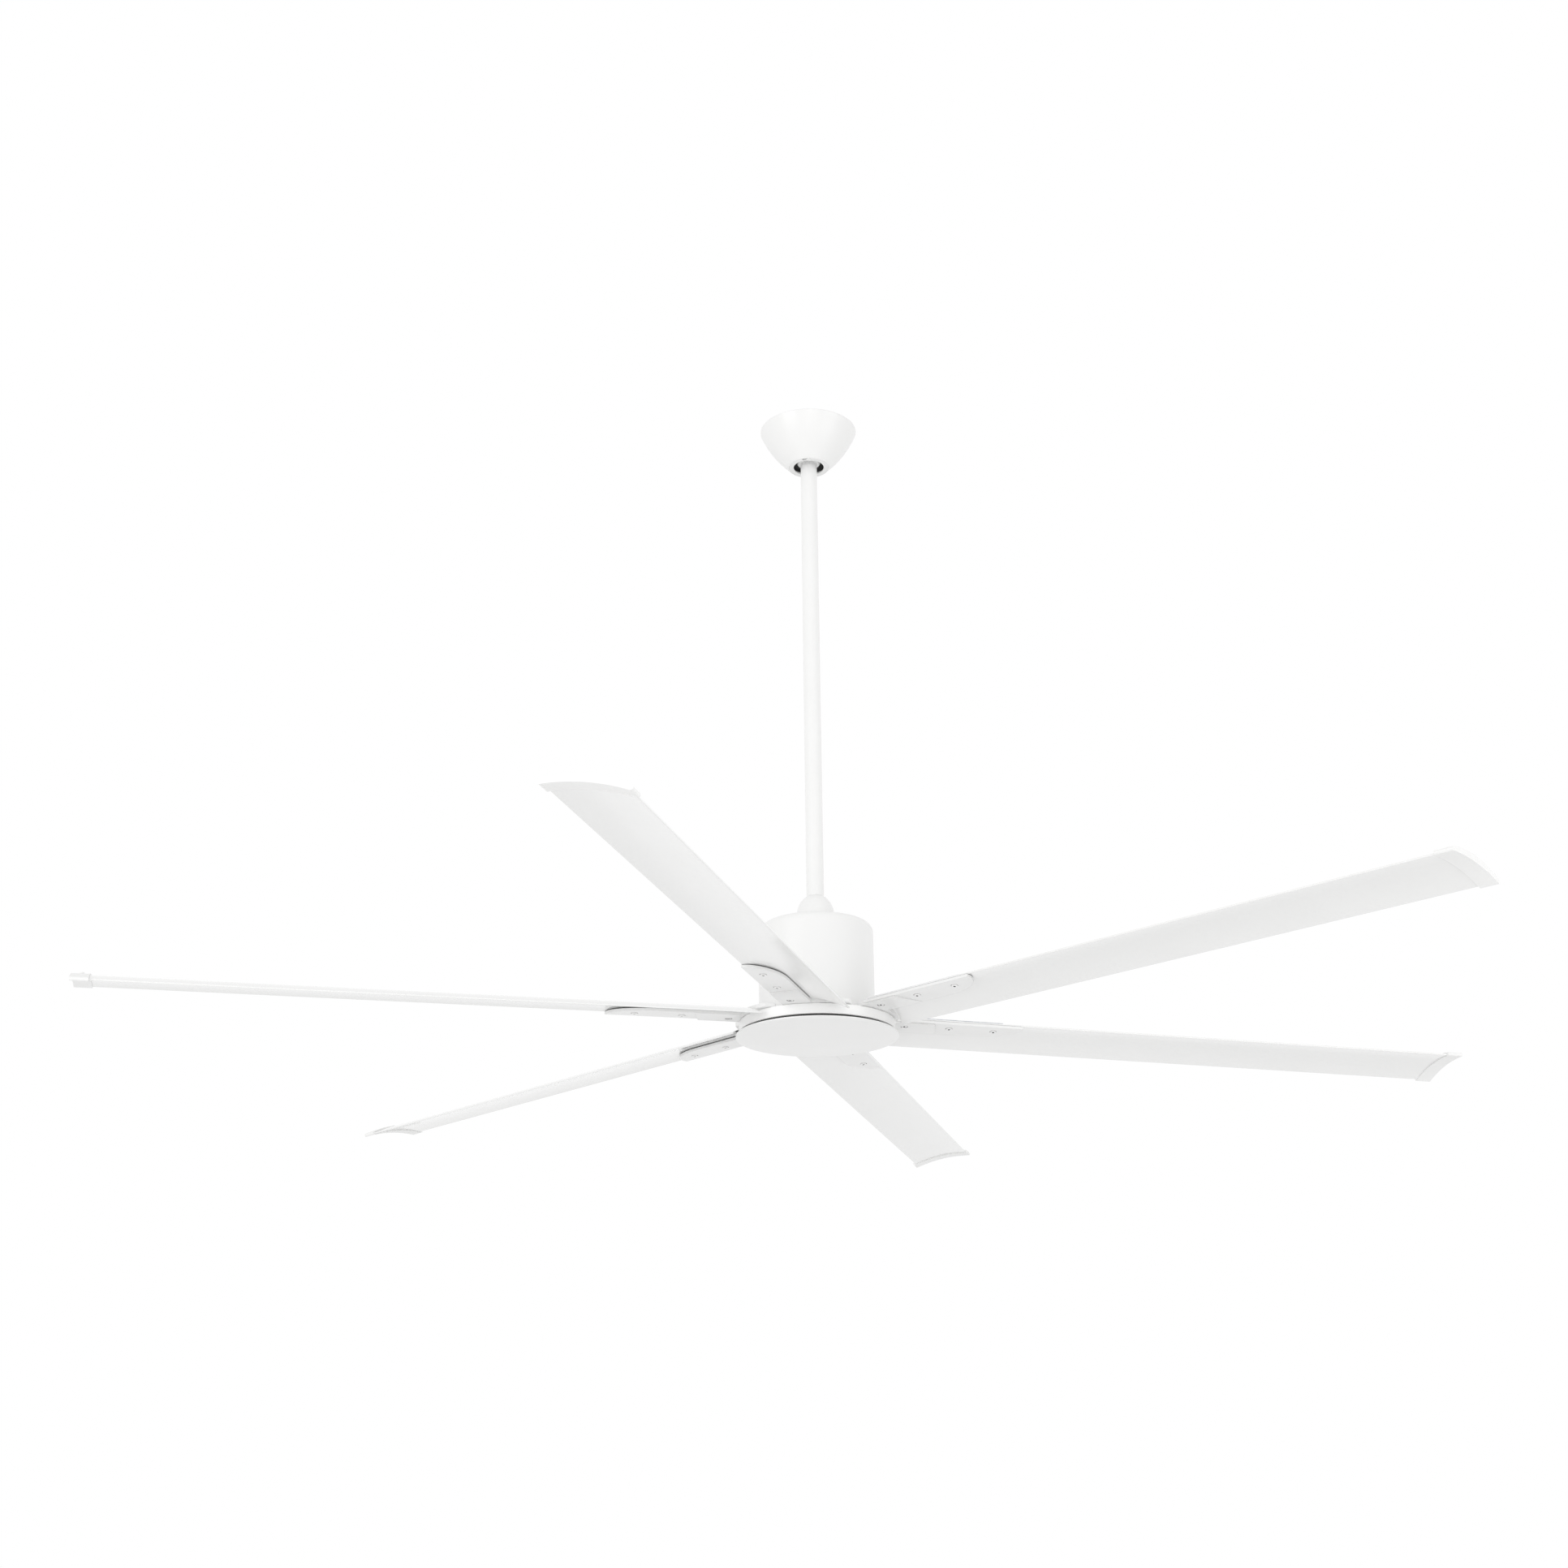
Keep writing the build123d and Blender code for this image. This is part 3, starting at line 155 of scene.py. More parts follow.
class Graph:
    """The node tree of one material, world or stage surface."""

    def __init__(self, tree: bpy.types.NodeTree) -> None:
        """Empties a tree to build it anew.

        Args:
            tree: The tree that gets the nodes.
        """
        self.tree = tree
        self.tree.nodes.clear()

    def node(
        self, kind: str, settings: dict | None = None, inputs: dict | None = None
    ) -> bpy.types.Node:
        """Adds one node: its settings first, then its inputs.

        Args:
            kind: The node's type.
            settings: Its properties by name.
            inputs: Numbers, colours, values, outputs or nodes by the input's name or place.

        Returns:
            The new node.
        """
        made = self.tree.nodes.new(kind)
        for name, setting in (settings or {}).items():
            setattr(made, name, setting)
        for key, given in (inputs or {}).items():
            self._feed(made.inputs[key], given)
        return made

    def _feed(self, socket: bpy.types.NodeSocket, given: object) -> None:
        """Sets or links one input.

        Args:
            socket: The input.
            given: A number, a colour, a Value, an output or a node whose first output is meant.
        """
        if isinstance(given, Value):
            self.tree.links.new(given.socket, socket)
        elif isinstance(given, bpy.types.NodeSocket):
            self.tree.links.new(given, socket)
        elif isinstance(given, bpy.types.Node):
            self.tree.links.new(given.outputs[0], socket)
        elif isinstance(given, tuple) and socket.type == "RGBA":
            socket.default_value = (*given, 1.0)
        else:
            socket.default_value = given

    def place(self) -> bpy.types.NodeSocket:
        """The point of the surface in the part's frame, in metres."""
        return self.node("ShaderNodeTexCoord").outputs["Object"]

    def turned(self, vector: bpy.types.NodeSocket, degrees: float) -> bpy.types.NodeSocket:
        """Turns a vector about the vertical axis.

        Args:
            vector: The vector.
            degrees: The angle of the turn.

        Returns:
            The turned vector.
        """
        settings = {"rotation_type": "Z_AXIS"}
        inputs = {"Vector": vector, "Angle": math.radians(degrees)}
        return self.node("ShaderNodeVectorRotate", settings, inputs).outputs[0]

    def apart(self, vector: bpy.types.NodeSocket) -> tuple[Value, Value, Value]:
        """The three parts of a vector as values."""
        made = self.node("ShaderNodeSeparateXYZ", None, {0: vector})
        return tuple(Value(self, made.outputs[place]) for place in range(3))

    def together(
        self, x: Value | float, y: Value | float, z: Value | float
    ) -> bpy.types.NodeSocket:
        """A vector from three values."""
        return self.node("ShaderNodeCombineXYZ", None, {0: x, 1: y, 2: z}).outputs[0]

    def stretched(self, vector: bpy.types.NodeSocket, scale: Triple) -> bpy.types.NodeSocket:
        """Multiplies a vector's parts by three numbers."""
        made = self.node("ShaderNodeVectorMath", {"operation": "MULTIPLY"}, {0: vector, 1: scale})
        return made.outputs[0]

    def noise(self, vector: bpy.types.NodeSocket, pattern: Pattern) -> Value:
        """Soft random value between 0 and 1.

        Args:
            vector: Where it is looked up.
            pattern: How fast it changes and how fine it is.

        Returns:
            The value.
        """
        inputs = {"Vector": vector, "Scale": pattern.per_metre, "Detail": pattern.detail}
        return Value(self, self.node("ShaderNodeTexNoise", None, inputs).outputs[0])

    def cells(
        self, vector: bpy.types.NodeSocket, per_metre: float
    ) -> tuple[Value, bpy.types.NodeSocket]:
        """Random cells.

        Args:
            vector: Where they are looked up.
            per_metre: How many of them stand in a metre.

        Returns:
            The distance from each cell's middle, and a colour for each cell.
        """
        made = self.node("ShaderNodeTexVoronoi", None, {"Vector": vector, "Scale": per_metre})
        return Value(self, made.outputs["Distance"]), made.outputs["Color"]

    def cell_edges(self, vector: bpy.types.NodeSocket, per_metre: float) -> Value:
        """Edges between random cells.

        Args:
            vector: Where they are looked up.
            per_metre: How many cells stand in a metre.

        Returns:
            The distance from the nearest edge.
        """
        settings = {"feature": "DISTANCE_TO_EDGE"}
        made = self.node("ShaderNodeTexVoronoi", settings, {"Vector": vector, "Scale": per_metre})
        return Value(self, made.outputs["Distance"])

    def red_of(self, colour: bpy.types.NodeSocket) -> Value:
        """The red part of a colour."""
        return Value(self, self.node("ShaderNodeSeparateColor", None, {0: colour}).outputs[0])

    def mixed(
        self, share: Value, under: Triple | bpy.types.NodeSocket, over: Triple
    ) -> bpy.types.NodeSocket:
        """Lays a colour over another by a share.

        Args:
            share: 0 gives the colour below and 1 the one on top.
            under: The colour below.
            over: The colour on top.

        Returns:
            The colour.
        """
        inputs = {MIX_SHARE: share, MIX_UNDER: under, MIX_OVER: over}
        return self.node("ShaderNodeMix", {"data_type": "RGBA"}, inputs).outputs[MIX_RESULT]

    def crevice(self, reach: float, own: bool = True) -> Value:
        """How much of the space in front of the surface is filled within a reach.

        Args:
            reach: How far it looks.
            own: Whether it sees only the piece itself, or its neighbours too.

        Returns:
            0 in the open and 1 in a closed gap.
        """
        settings = {"samples": OWN_SAMPLES if own else NEIGHBOUR_SAMPLES, "only_local": own}
        made = self.node("ShaderNodeAmbientOcclusion", settings, {"Distance": reach})
        return 1.0 - Value(self, made.outputs["AO"])

    def soft_edge(self, radius: float) -> bpy.types.NodeSocket:
        """Normal that rounds the edges by a radius."""
        made = self.node("ShaderNodeBevel", {"samples": BEVEL_SAMPLES}, {"Radius": radius})
        return made.outputs[0]

    def relief(
        self, height: Value, depth: float, under: bpy.types.NodeSocket | None = None
    ) -> bpy.types.NodeSocket:
        """Normal of a surface that rises and falls.

        Args:
            height: The height between 0 and 1.
            depth: What 1 means.
            under: The normal that it stands on, if it isn't the mesh's own.

        Returns:
            The normal.
        """
        inputs = {"Strength": 1.0, "Distance": depth, "Height": height}
        if under is not None:
            inputs["Normal"] = under
        return self.node("ShaderNodeBump", None, inputs).outputs[0]

    def surface(self, inputs: dict) -> None:
        """Ends the tree in one plain physical surface with these inputs."""
        made = self.node("ShaderNodeBsdfPrincipled", None, inputs)
        self.node("ShaderNodeOutputMaterial", None, {"Surface": made})


def new_material(name: str) -> tuple[bpy.types.Material, Graph]:
    """Makes an empty material.

    Args:
        name: What it is called.

    Returns:
        The material and its graph.
    """
    material = bpy.data.materials.new(name)
    material.use_nodes = True
    return material, Graph(material.node_tree)


class Finish(ABC):
    """A look that pieces can wear.

    Attributes:
        name: What the material is called.
    """

    name: str

    @abstractmethod
    def inputs(self, graph: Graph) -> dict[str, object]:
        """What the surface is fed with.

        Args:
            graph: The material's tree.

        Returns:
            Numbers, colours, values and outputs by the input's name.
        """

    def build(self) -> bpy.types.Material:
        """Makes the material.

        Returns:
            The material.
        """
        material, graph = new_material(self.name)
        graph.surface(self.inputs(graph))
        return material


@dataclass(frozen=True)
class Paint(Finish):
    """Sprayed and baked paint or powder on metal.

    Attributes:
        name: What the material is called.
        colour: The paint's colour.
        mottle_and_shade_colour: Its slightly deeper tone, at random where the coat is thin, and in
            its own hollows as partly grime, partly painted shade.
        roughness: Mean roughness.
        coat: Weight of the clear top layer.
        peel_per_metre: How often the orange peel repeats.
        peel_depth: Depth of the orange peel.
        line_depth: Depth of the lines that show through the paint.
        grain: Direction of these lines.
        heading: Direction of the piece about the axis, in degrees.
        edge: Radius that its edges are rounded by, 0 where the shape has its own.
        hollow_grime_and_shade: How much deeper its own hollows are in tone, partly grime and
            partly painted shade, 0 to leave them alone.
        gap_shade_reach: Reach in which a neighbour close by gets a narrow gap painted shade, 0 for
            none.
        gap_shade_span: Distances from the axis between which it paints that shade.
        recess_shade_reach: Reach in which the piece's own recesses get near-black painted shade, 0
            for none.
        collar: Radius and level of a collar, inside and above them, painted near-black as the
            shadow in the narrow gap over it.
    """

    name: str
    colour: Triple = (0.86, 0.86, 0.855)
    mottle_and_shade_colour: Triple = (0.80, 0.80, 0.79)
    roughness: float = 0.34
    coat: float = 0.2
    peel_per_metre: float = 520.0
    peel_depth: float = 0.00002
    line_depth: float = 0.0
    grain: Grain = Grain.EVEN
    heading: float = 0.0
    edge: float = 0.0006
    hollow_grime_and_shade: float = 0.55
    gap_shade_reach: float = 0.0
    gap_shade_span: tuple[float, float] = (0.0, 0.0)
    recess_shade_reach: float = 0.0
    collar: tuple[float, float] | None = None

    # Tone: the patterns that deepen it, and how strongly; the reach of the grime and painted shade
    # in its own hollows
    CLOUDS = Pattern(9.0, 3.0)
    CLOUD_SHARE = 0.5
    SPECKS = Pattern(1400.0, 1.0)
    SPECK_SHARE = 0.12
    MEAN_SHARE = 0.18
    HOLLOW_REACH = 0.006

    # Painted shade in narrow gaps and in its own recesses, and painted shadow on the collar: their
    # tones, where the darkening starts and how soon it is full
    GAP_SHADE_TONE = (0.08, 0.08, 0.08)
    GAP_SHADE_START = 0.18
    GAP_SHADE_RANGE = 0.2
    SHADE_BLACK = (0.012, 0.012, 0.012)
    RECESS_SHADE_START = 0.12
    RECESS_SHADE_RANGE = 0.1

    # Gloss
    RUBBED = Pattern(38.0, 4.0)
    RUBBED_ROUGHNESS = 0.14
    SPECK_ROUGHNESS = 0.05
    COAT_ROUGHNESS = 0.12
    REFRACTION = 1.5

    # Lines under the paint, looked up at a place that is already stretched
    LINE_STRETCH = (1.5, 420.0, 420.0)
    LINES = Pattern(1.0, 2.0)
    RINGS_PER_METRE = 300.0
    RINGS = Pattern(1.0, 1.0)

    def _gap_shade(self, graph: Graph) -> Value:
        """Finds where a neighbour stands close, between two distances from the axis, to paint
        shade in the narrow gap there.

        Args:
            graph: The material's tree.

        Returns:
            0 in the open, rising to 1 there.
        """
        near, far = self.gap_shade_span
        x, y, _ = graph.apart(graph.place())
        distance = off_axis(x, y)
        spanned = (distance > near) * (1.0 - (distance > far))
        beside = graph.crevice(self.gap_shade_reach, own=False) - graph.crevice(self.gap_shade_reach)
        return ((beside - self.GAP_SHADE_START) / self.GAP_SHADE_RANGE).clamped() * spanned

    def _recess_shade(self, graph: Graph) -> Value:
        """Finds where the piece's own recesses get painted shade.

        Args:
            graph: The material's tree.

        Returns:
            0 in the open, rising to 1 there.
        """
        hollow = graph.crevice(self.recess_shade_reach)
        return ((hollow - self.RECESS_SHADE_START) / self.RECESS_SHADE_RANGE).clamped()

    def _gap_shadow(self, graph: Graph) -> Value:
        """Finds the collar that is painted as shadow, which is inside its radius and above its
        level.

        Args:
            graph: The material's tree.

        Returns:
            1 there and 0 elsewhere.
        """
        radius, level = self.collar
        x, y, z = graph.apart(graph.place())
        return (1.0 - (off_axis(x, y) > radius)) * (z > level)

    def darkened(self, graph: Graph, colour: bpy.types.NodeSocket) -> bpy.types.NodeSocket:
        """Adds the painted shade and painted shadow that this paint is told to have.

        Args:
            graph: The material's tree.
            colour: The paint's colour.

        Returns:
            The colour with its painted shade and shadow.
        """
        if self.gap_shade_reach:
            # Painted shade: dark grey in narrow gaps where a neighbour stands close
            colour = graph.mixed(self._gap_shade(graph), colour, self.GAP_SHADE_TONE)
        if self.recess_shade_reach:
            # Painted shade: near-black in its own recesses
            colour = graph.mixed(self._recess_shade(graph), colour, self.SHADE_BLACK)
        if self.collar:
            # Painted shadow: the collar near-black
            colour = graph.mixed(self._gap_shadow(graph), colour, self.SHADE_BLACK)
        return colour

    def normal(self, graph: Graph, place: bpy.types.NodeSocket) -> bpy.types.NodeSocket:
        """Rounds the edges, then adds the orange peel and the lines that show through it.

        Args:
            graph: The material's tree.
            place: The point of the surface, turned so that +X runs along the piece.

        Returns:
            The normal.
        """
        rounded = graph.soft_edge(self.edge) if self.edge else None
        peel = graph.noise(place, Pattern(self.peel_per_metre))
        normal = graph.relief(peel, self.peel_depth, rounded)
        if self.grain is Grain.LENGTHWISE:
            lines = graph.noise(graph.stretched(place, self.LINE_STRETCH), self.LINES)
            normal = graph.relief(lines, self.line_depth, normal)
        elif self.grain is Grain.ROUND:
            x, y, z = graph.apart(place)
            scale = self.RINGS_PER_METRE
            rings = graph.noise(graph.together(off_axis(x, y) * scale, z * scale, 0.0), self.RINGS)
            normal = graph.relief(rings, self.line_depth, normal)
        return normal

    def inputs(self, graph: Graph) -> dict[str, object]:
        """What the surface is fed with.

        Args:
            graph: The material's tree.

        Returns:
            Numbers, colours, values and outputs by the input's name.
        """
        place = graph.turned(graph.place(), -self.heading)
        clouds = graph.noise(place, self.CLOUDS)
        specks = graph.noise(place, self.SPECKS)
        rubbed = graph.noise(place, self.RUBBED)
        share = clouds.swung(self.CLOUD_SHARE) + specks.swung(self.SPECK_SHARE) + self.MEAN_SHARE
        # Grime and painted shade: its own hollows darker
        if self.hollow_grime_and_shade:
            share = share + graph.crevice(self.HOLLOW_REACH) * self.hollow_grime_and_shade
        colour = graph.mixed(share.clamped(), self.colour, self.mottle_and_shade_colour)
        roughness = self.roughness + rubbed.swung(self.RUBBED_ROUGHNESS)
        roughness = roughness + specks.swung(self.SPECK_ROUGHNESS)
        return {
            "Base Color": self.darkened(graph, colour),
            "Roughness": roughness.clamped(),
            "Coat Weight": self.coat,
            "Coat Roughness": self.COAT_ROUGHNESS,
            "IOR": self.REFRACTION,
            "Normal": self.normal(graph, place),
        }


@dataclass(frozen=True)
class Moulding(Finish):
    """Moulded or pressed plastic, rubber or ferrite with a fine texture.

    Attributes:
        name: What the material is called.
        colour: Its colour.
        flow_and_shade_colour: Its tone in the flow marks, and the painted shade in its hollows.
        roughness: Mean roughness.
        texture_per_metre: How often the texture repeats.
        texture_depth: Depth of the texture.
        edge: Radius that its edges are rounded by, 0 to leave them and its hollows alone.
    """

    name: str
    colour: Triple
    flow_and_shade_colour: Triple
    roughness: float = 0.42
    texture_per_metre: float = 1500.0
    texture_depth: float = 0.00002
    edge: float = 0.0004

    # Patterns, and how strongly they show in tone and gloss; the reach and strength of the painted
    # shade in its hollows
    FLOW = Pattern(24.0, 3.0)
    FLOW_SHARE = 0.7
    MEAN_SHARE = 0.2
    HOLLOW_REACH = 0.004
    HOLLOW_SHARE = 0.6
    TEXTURE_DETAIL = 1.0
    FLOW_ROUGHNESS = 0.12
    TEXTURE_ROUGHNESS = 0.08

    def inputs(self, graph: Graph) -> dict[str, object]:
        """What the surface is fed with.

        Args:
            graph: The material's tree.

        Returns:
            Numbers, colours, values and outputs by the input's name.
        """
        place = graph.place()
        flow = graph.noise(place, self.FLOW)
        share = flow.swung(self.FLOW_SHARE) + self.MEAN_SHARE
        # Painted shade: its hollows darker towards the flow tone
        if self.edge:
            share = share + graph.crevice(self.HOLLOW_REACH) * self.HOLLOW_SHARE
        colour = graph.mixed(share.clamped(), self.colour, self.flow_and_shade_colour)
        texture = graph.noise(place, Pattern(self.texture_per_metre, self.TEXTURE_DETAIL))
        roughness = self.roughness + flow.swung(self.FLOW_ROUGHNESS)
        roughness = roughness + texture.swung(self.TEXTURE_ROUGHNESS)
        rounded = graph.soft_edge(self.edge) if self.edge else None
        normal = graph.relief(texture, self.texture_depth, rounded)
        return {"Base Color": colour, "Roughness": roughness.clamped(), "Normal": normal}


@dataclass(frozen=True)
class BareMetal(Finish):
    """Bare, plated or blackened metal.

    Attributes:
        name: What the material is called.
        colour: Its reflection's colour.
        stain_colour: Its colour where it is dulled.
        roughness: Mean roughness.
        grain: ROUND for lines turned about the axis, EVEN for a grain without a direction.
        lines_per_metre: How close these lines stand.
        line_depth: Their depth.
        spangle: Contrast of zinc flowers, 0 for none.
    """

    name: str
    colour: Triple
    stain_colour: Triple
    roughness: float = 0.3
    grain: Grain = Grain.EVEN
    lines_per_metre: float = 2400.0
    line_depth: float = 0.000008
    spangle: float = 0.0

    # Patterns, and how strongly they show in tone and gloss
    STAIN = Pattern(70.0, 4.0)
    STAIN_SHARE = 0.9
    STAIN_ROUGHNESS = 0.16
    HOLLOW_REACH = 0.003
    HOLLOW_SHARE = 0.8
    HOLLOW_ROUGHNESS = 0.15
    MEAN_SHARE = 0.3
    FLOWERS_PER_METRE = 190.0
    FLOWER_DISTANCE_SHARE = 0.1
    FLOWER_ROUGHNESS = 0.14
    LINES = Pattern(1.0, 2.0)
    EDGE = 0.0003

    def _line_place(self, graph: Graph, place: bpy.types.NodeSocket) -> bpy.types.NodeSocket:
        """Where the machining lines are looked up.

        Args:
            graph: The material's tree.
            place: The point of the surface.

        Returns:
            The point, scaled to how close the lines stand.
        """
        scale = self.lines_per_metre
        if self.grain is Grain.ROUND:
            x, y, z = graph.apart(place)
            return graph.together(off_axis(x, y) * scale, y.angle_from(x), z * scale)
        return graph.stretched(place, (scale, scale, scale))

    def inputs(self, graph: Graph) -> dict[str, object]:
        """What the surface is fed with.

        Args:
            graph: The material's tree.

        Returns:
            Numbers, colours, values and outputs by the input's name.
        """
        place = graph.place()
        stain = graph.noise(place, self.STAIN)
        hollow = graph.crevice(self.HOLLOW_REACH)
        share = stain.swung(self.STAIN_SHARE) + hollow * self.HOLLOW_SHARE + self.MEAN_SHARE
        roughness = self.roughness + stain.swung(self.STAIN_ROUGHNESS)
        roughness = roughness + hollow * self.HOLLOW_ROUGHNESS
        if self.spangle:
            distance, flowers = graph.cells(place, self.FLOWERS_PER_METRE)
            flower = graph.red_of(flowers)
            share = share + flower.swung(self.spangle) + distance * self.FLOWER_DISTANCE_SHARE
            roughness = roughness + flower.swung(self.FLOWER_ROUGHNESS)
        lines = graph.noise(self._line_place(graph, place), self.LINES)
        return {
            "Base Color": graph.mixed(share.clamped(), self.colour, self.stain_colour),
            "Metallic": 1.0,
            "Roughness": roughness.clamped(),
            "Normal": graph.relief(lines, self.line_depth, graph.soft_edge(self.EDGE)),
        }


@dataclass(frozen=True)
class SheetStack(Finish):
    """Punched sheets of electrical steel seen from their edges.

    Attributes:
        name: What the material is called.
        sheet: Thickness of one sheet.
    """

    name: str = "core_sheets"
    sheet: float = 0.0005

    COLOUR = (0.34, 0.35, 0.37)
    GAP_COLOUR = (0.10, 0.10, 0.11)
    GAP_SHARE = 0.5
    STAIN = Pattern(90.0, 3.0)
    STAIN_SHARE = 0.4
    METALLIC = 0.9
    ROUGHNESS = 0.42
    STAIN_ROUGHNESS = 0.16
    DEPTH = 0.00008

    def inputs(self, graph: Graph) -> dict[str, object]:
        """What the surface is fed with.

        Args:
            graph: The material's tree.

        Returns:
            Numbers, colours, values and outputs by the input's name.
        """
        place = graph.place()
        height = graph.apart(place)[2]
        ridge = abs((height * (math.pi / self.sheet)).wave())
        stain = graph.noise(place, self.STAIN)
        share = (1.0 - ridge) * self.GAP_SHARE + stain * self.STAIN_SHARE
        return {
            "Base Color": graph.mixed(share.clamped(), self.COLOUR, self.GAP_COLOUR),
            "Metallic": self.METALLIC,
            "Roughness": self.ROUGHNESS + stain * self.STAIN_ROUGHNESS,
            "Normal": graph.relief(ridge, self.DEPTH),
        }


@dataclass(frozen=True)
class Winding(Finish):
    """Enamelled copper wire wound in layers round each tooth.

    Attributes:
        name: What the material is called.
        wire: Thickness of the wire.
    """

    name: str = "copper_winding"
    wire: float = 0.0009

    COLOUR = (0.62, 0.24, 0.09)
    GAP_COLOUR = (0.16, 0.05, 0.02)
    GAP_SHARE = 0.8
    WOBBLE = Pattern(160.0, 1.0)
    WOBBLE_ANGLE = 0.6
    WOBBLE_SHARE = 0.2
    METALLIC = 0.75
    ROUGHNESS = 0.28
    GAP_ROUGHNESS = 0.25
    ENAMEL = 0.6
    DEPTH = 0.0003

    def inputs(self, graph: Graph) -> dict[str, object]:
        """What the surface is fed with.

        Args:
            graph: The material's tree.

        Returns:
            Numbers, colours, values and outputs by the input's name.
        """
        place = graph.place()
        x, y, _ = graph.apart(place)
        wobble = graph.noise(place, self.WOBBLE) * self.WOBBLE_ANGLE
        ridge = abs((off_axis(x, y) * (math.pi / self.wire) + wobble).wave())
        gap = 1.0 - ridge
        share = gap * self.GAP_SHARE + wobble * self.WOBBLE_SHARE
        roughness = self.ROUGHNESS + gap * self.GAP_ROUGHNESS
        return {
            "Base Color": graph.mixed(share.clamped(), self.COLOUR, self.GAP_COLOUR),
            "Metallic": self.METALLIC,
            "Roughness": roughness.clamped(),
            "Coat Weight": self.ENAMEL,
            "Normal": graph.relief(ridge, self.DEPTH),
        }


@dataclass(frozen=True)
class PrintedBoard(Finish):
    """Green circuit board with tracks under its lacquer.

    Attributes:
        name: What the material is called.
    """

    name: str = "printed_board"

    COLOUR = (0.012, 0.10, 0.035)
    TRACK_COLOUR = (0.03, 0.22, 0.075)
    CELLS_PER_METRE = 210.0
    GAP = 0.09
    TRACK_SHARE = 0.75
    WEAVE = Pattern(1300.0, 1.0)
    WEAVE_SHARE = 0.3
    ROUGHNESS = 0.28
    WEAVE_ROUGHNESS = 0.1
    LACQUER = 0.4
    DEPTH = 0.00004

    def inputs(self, graph: Graph) -> dict[str, object]:
        """What the surface is fed with.

        Args:
            graph: The material's tree.

        Returns:
            Numbers, colours, values and outputs by the input's name.
        """
        place = graph.place()
        track = graph.cell_edges(place, self.CELLS_PER_METRE) > self.GAP
        weave = graph.noise(place, self.WEAVE)
        share = track * self.TRACK_SHARE + weave.swung(self.WEAVE_SHARE)
        return {
            "Base Color": graph.mixed(share.clamped(), self.COLOUR, self.TRACK_COLOUR),
            "Roughness": self.ROUGHNESS + weave * self.WEAVE_ROUGHNESS,
            "Coat Weight": self.LACQUER,
            "Normal": graph.relief(track, self.DEPTH),
        }


class Finishes(Enum):
    """The finishes of the fan's pieces by name."""

    CANOPY_PAINT = Paint("canopy_paint")
    BLACK_COAT = Paint(
        "black_coat", (0.018, 0.018, 0.019), (0.035, 0.035, 0.036), roughness=0.5, coat=0.0
    )
    # Screw heads with near-black painted shade in their sockets
    SCREW_COAT = Paint(
        "screw_coat", roughness=0.3, peel_depth=0.00001, edge=0.0002, recess_shade_reach=0.003
    )
    HEAD_COAT = Paint("head_coat", roughness=0.3, peel_depth=0.00001, edge=0.0002)
    ROD_PAINT = Paint("rod_paint", roughness=0.32, grain=Grain.ROUND, line_depth=0.000002)
    HOUSING_PAINT = Paint("housing_paint", roughness=0.36)
    # The hub's paint is lighter than the other white paints: painted light on its wall, which the
    # blades and the dish's rim shade
    HUB_PAINT = Paint(
        "hub_paint", (0.94, 0.94, 0.935), (0.88, 0.88, 0.87), roughness=0.4, coat=0.1, hollow_grime_and_shade=0.3
    )
    # The dish's collar in the narrow gap under the hub is painted near-black as shadow
    DISH_PAINT = Paint("dish_paint", collar=(0.1145, -1.0284))
    # The ball's moulding is lighter than the other white mouldings: painted light on the ball,
    # which sits in the canopy's shade
    BALL_MOULDING = Moulding("ball_moulding", (0.91, 0.91, 0.905), (0.87, 0.87, 0.86), 0.4)
    WHITE_MOULDING = Moulding("white_moulding", (0.85, 0.85, 0.845), (0.78, 0.78, 0.77))
    CAP_MOULDING = Moulding(
        "cap_moulding", (0.87, 0.87, 0.865), (0.82, 0.82, 0.81), 0.36, edge=0.0
    )
    BLACK_RUBBER = Moulding(
        "black_rubber", (0.022, 0.022, 0.022), (0.045, 0.045, 0.045), 0.72, 900.0, 0.00004
    )
    LEAD_JACKET = Moulding("lead_jacket", (0.30, 0.30, 0.31), (0.24, 0.24, 0.25), 0.5, 700.0)
    EPOXY = Moulding(
        "black_epoxy", (0.03, 0.03, 0.032), (0.06, 0.06, 0.065), 0.38, 1200.0, 0.00001
    )
    FERRITE = Moulding(
        "sintered_ferrite", (0.05, 0.05, 0.052), (0.09, 0.09, 0.095), 0.55, 1100.0, 0.00003
    )
    ZINC = BareMetal("zinc_plate", (0.66, 0.68, 0.70), (0.44, 0.46, 0.50), 0.36, spangle=0.7)
    GROUND_STEEL = BareMetal(
        "ground_steel", (0.64, 0.64, 0.64), (0.42, 0.42, 0.43), 0.22, Grain.ROUND
    )
    BRIGHT_STEEL = BareMetal("bright_screws", (0.70, 0.70, 0.69), (0.48, 0.48, 0.48), 0.28)
    BLACK_STEEL = BareMetal("black_steel", (0.045, 0.045, 0.048), (0.09, 0.09, 0.09), 0.42)
    CAST_METAL = BareMetal(
        "cast_metal", (0.62, 0.62, 0.63), (0.42, 0.42, 0.43), 0.5, Grain.EVEN, 700.0, 0.00006
    )
    CORE_SHEETS = SheetStack()
    COPPER = Winding()
    BOARD = PrintedBoard()


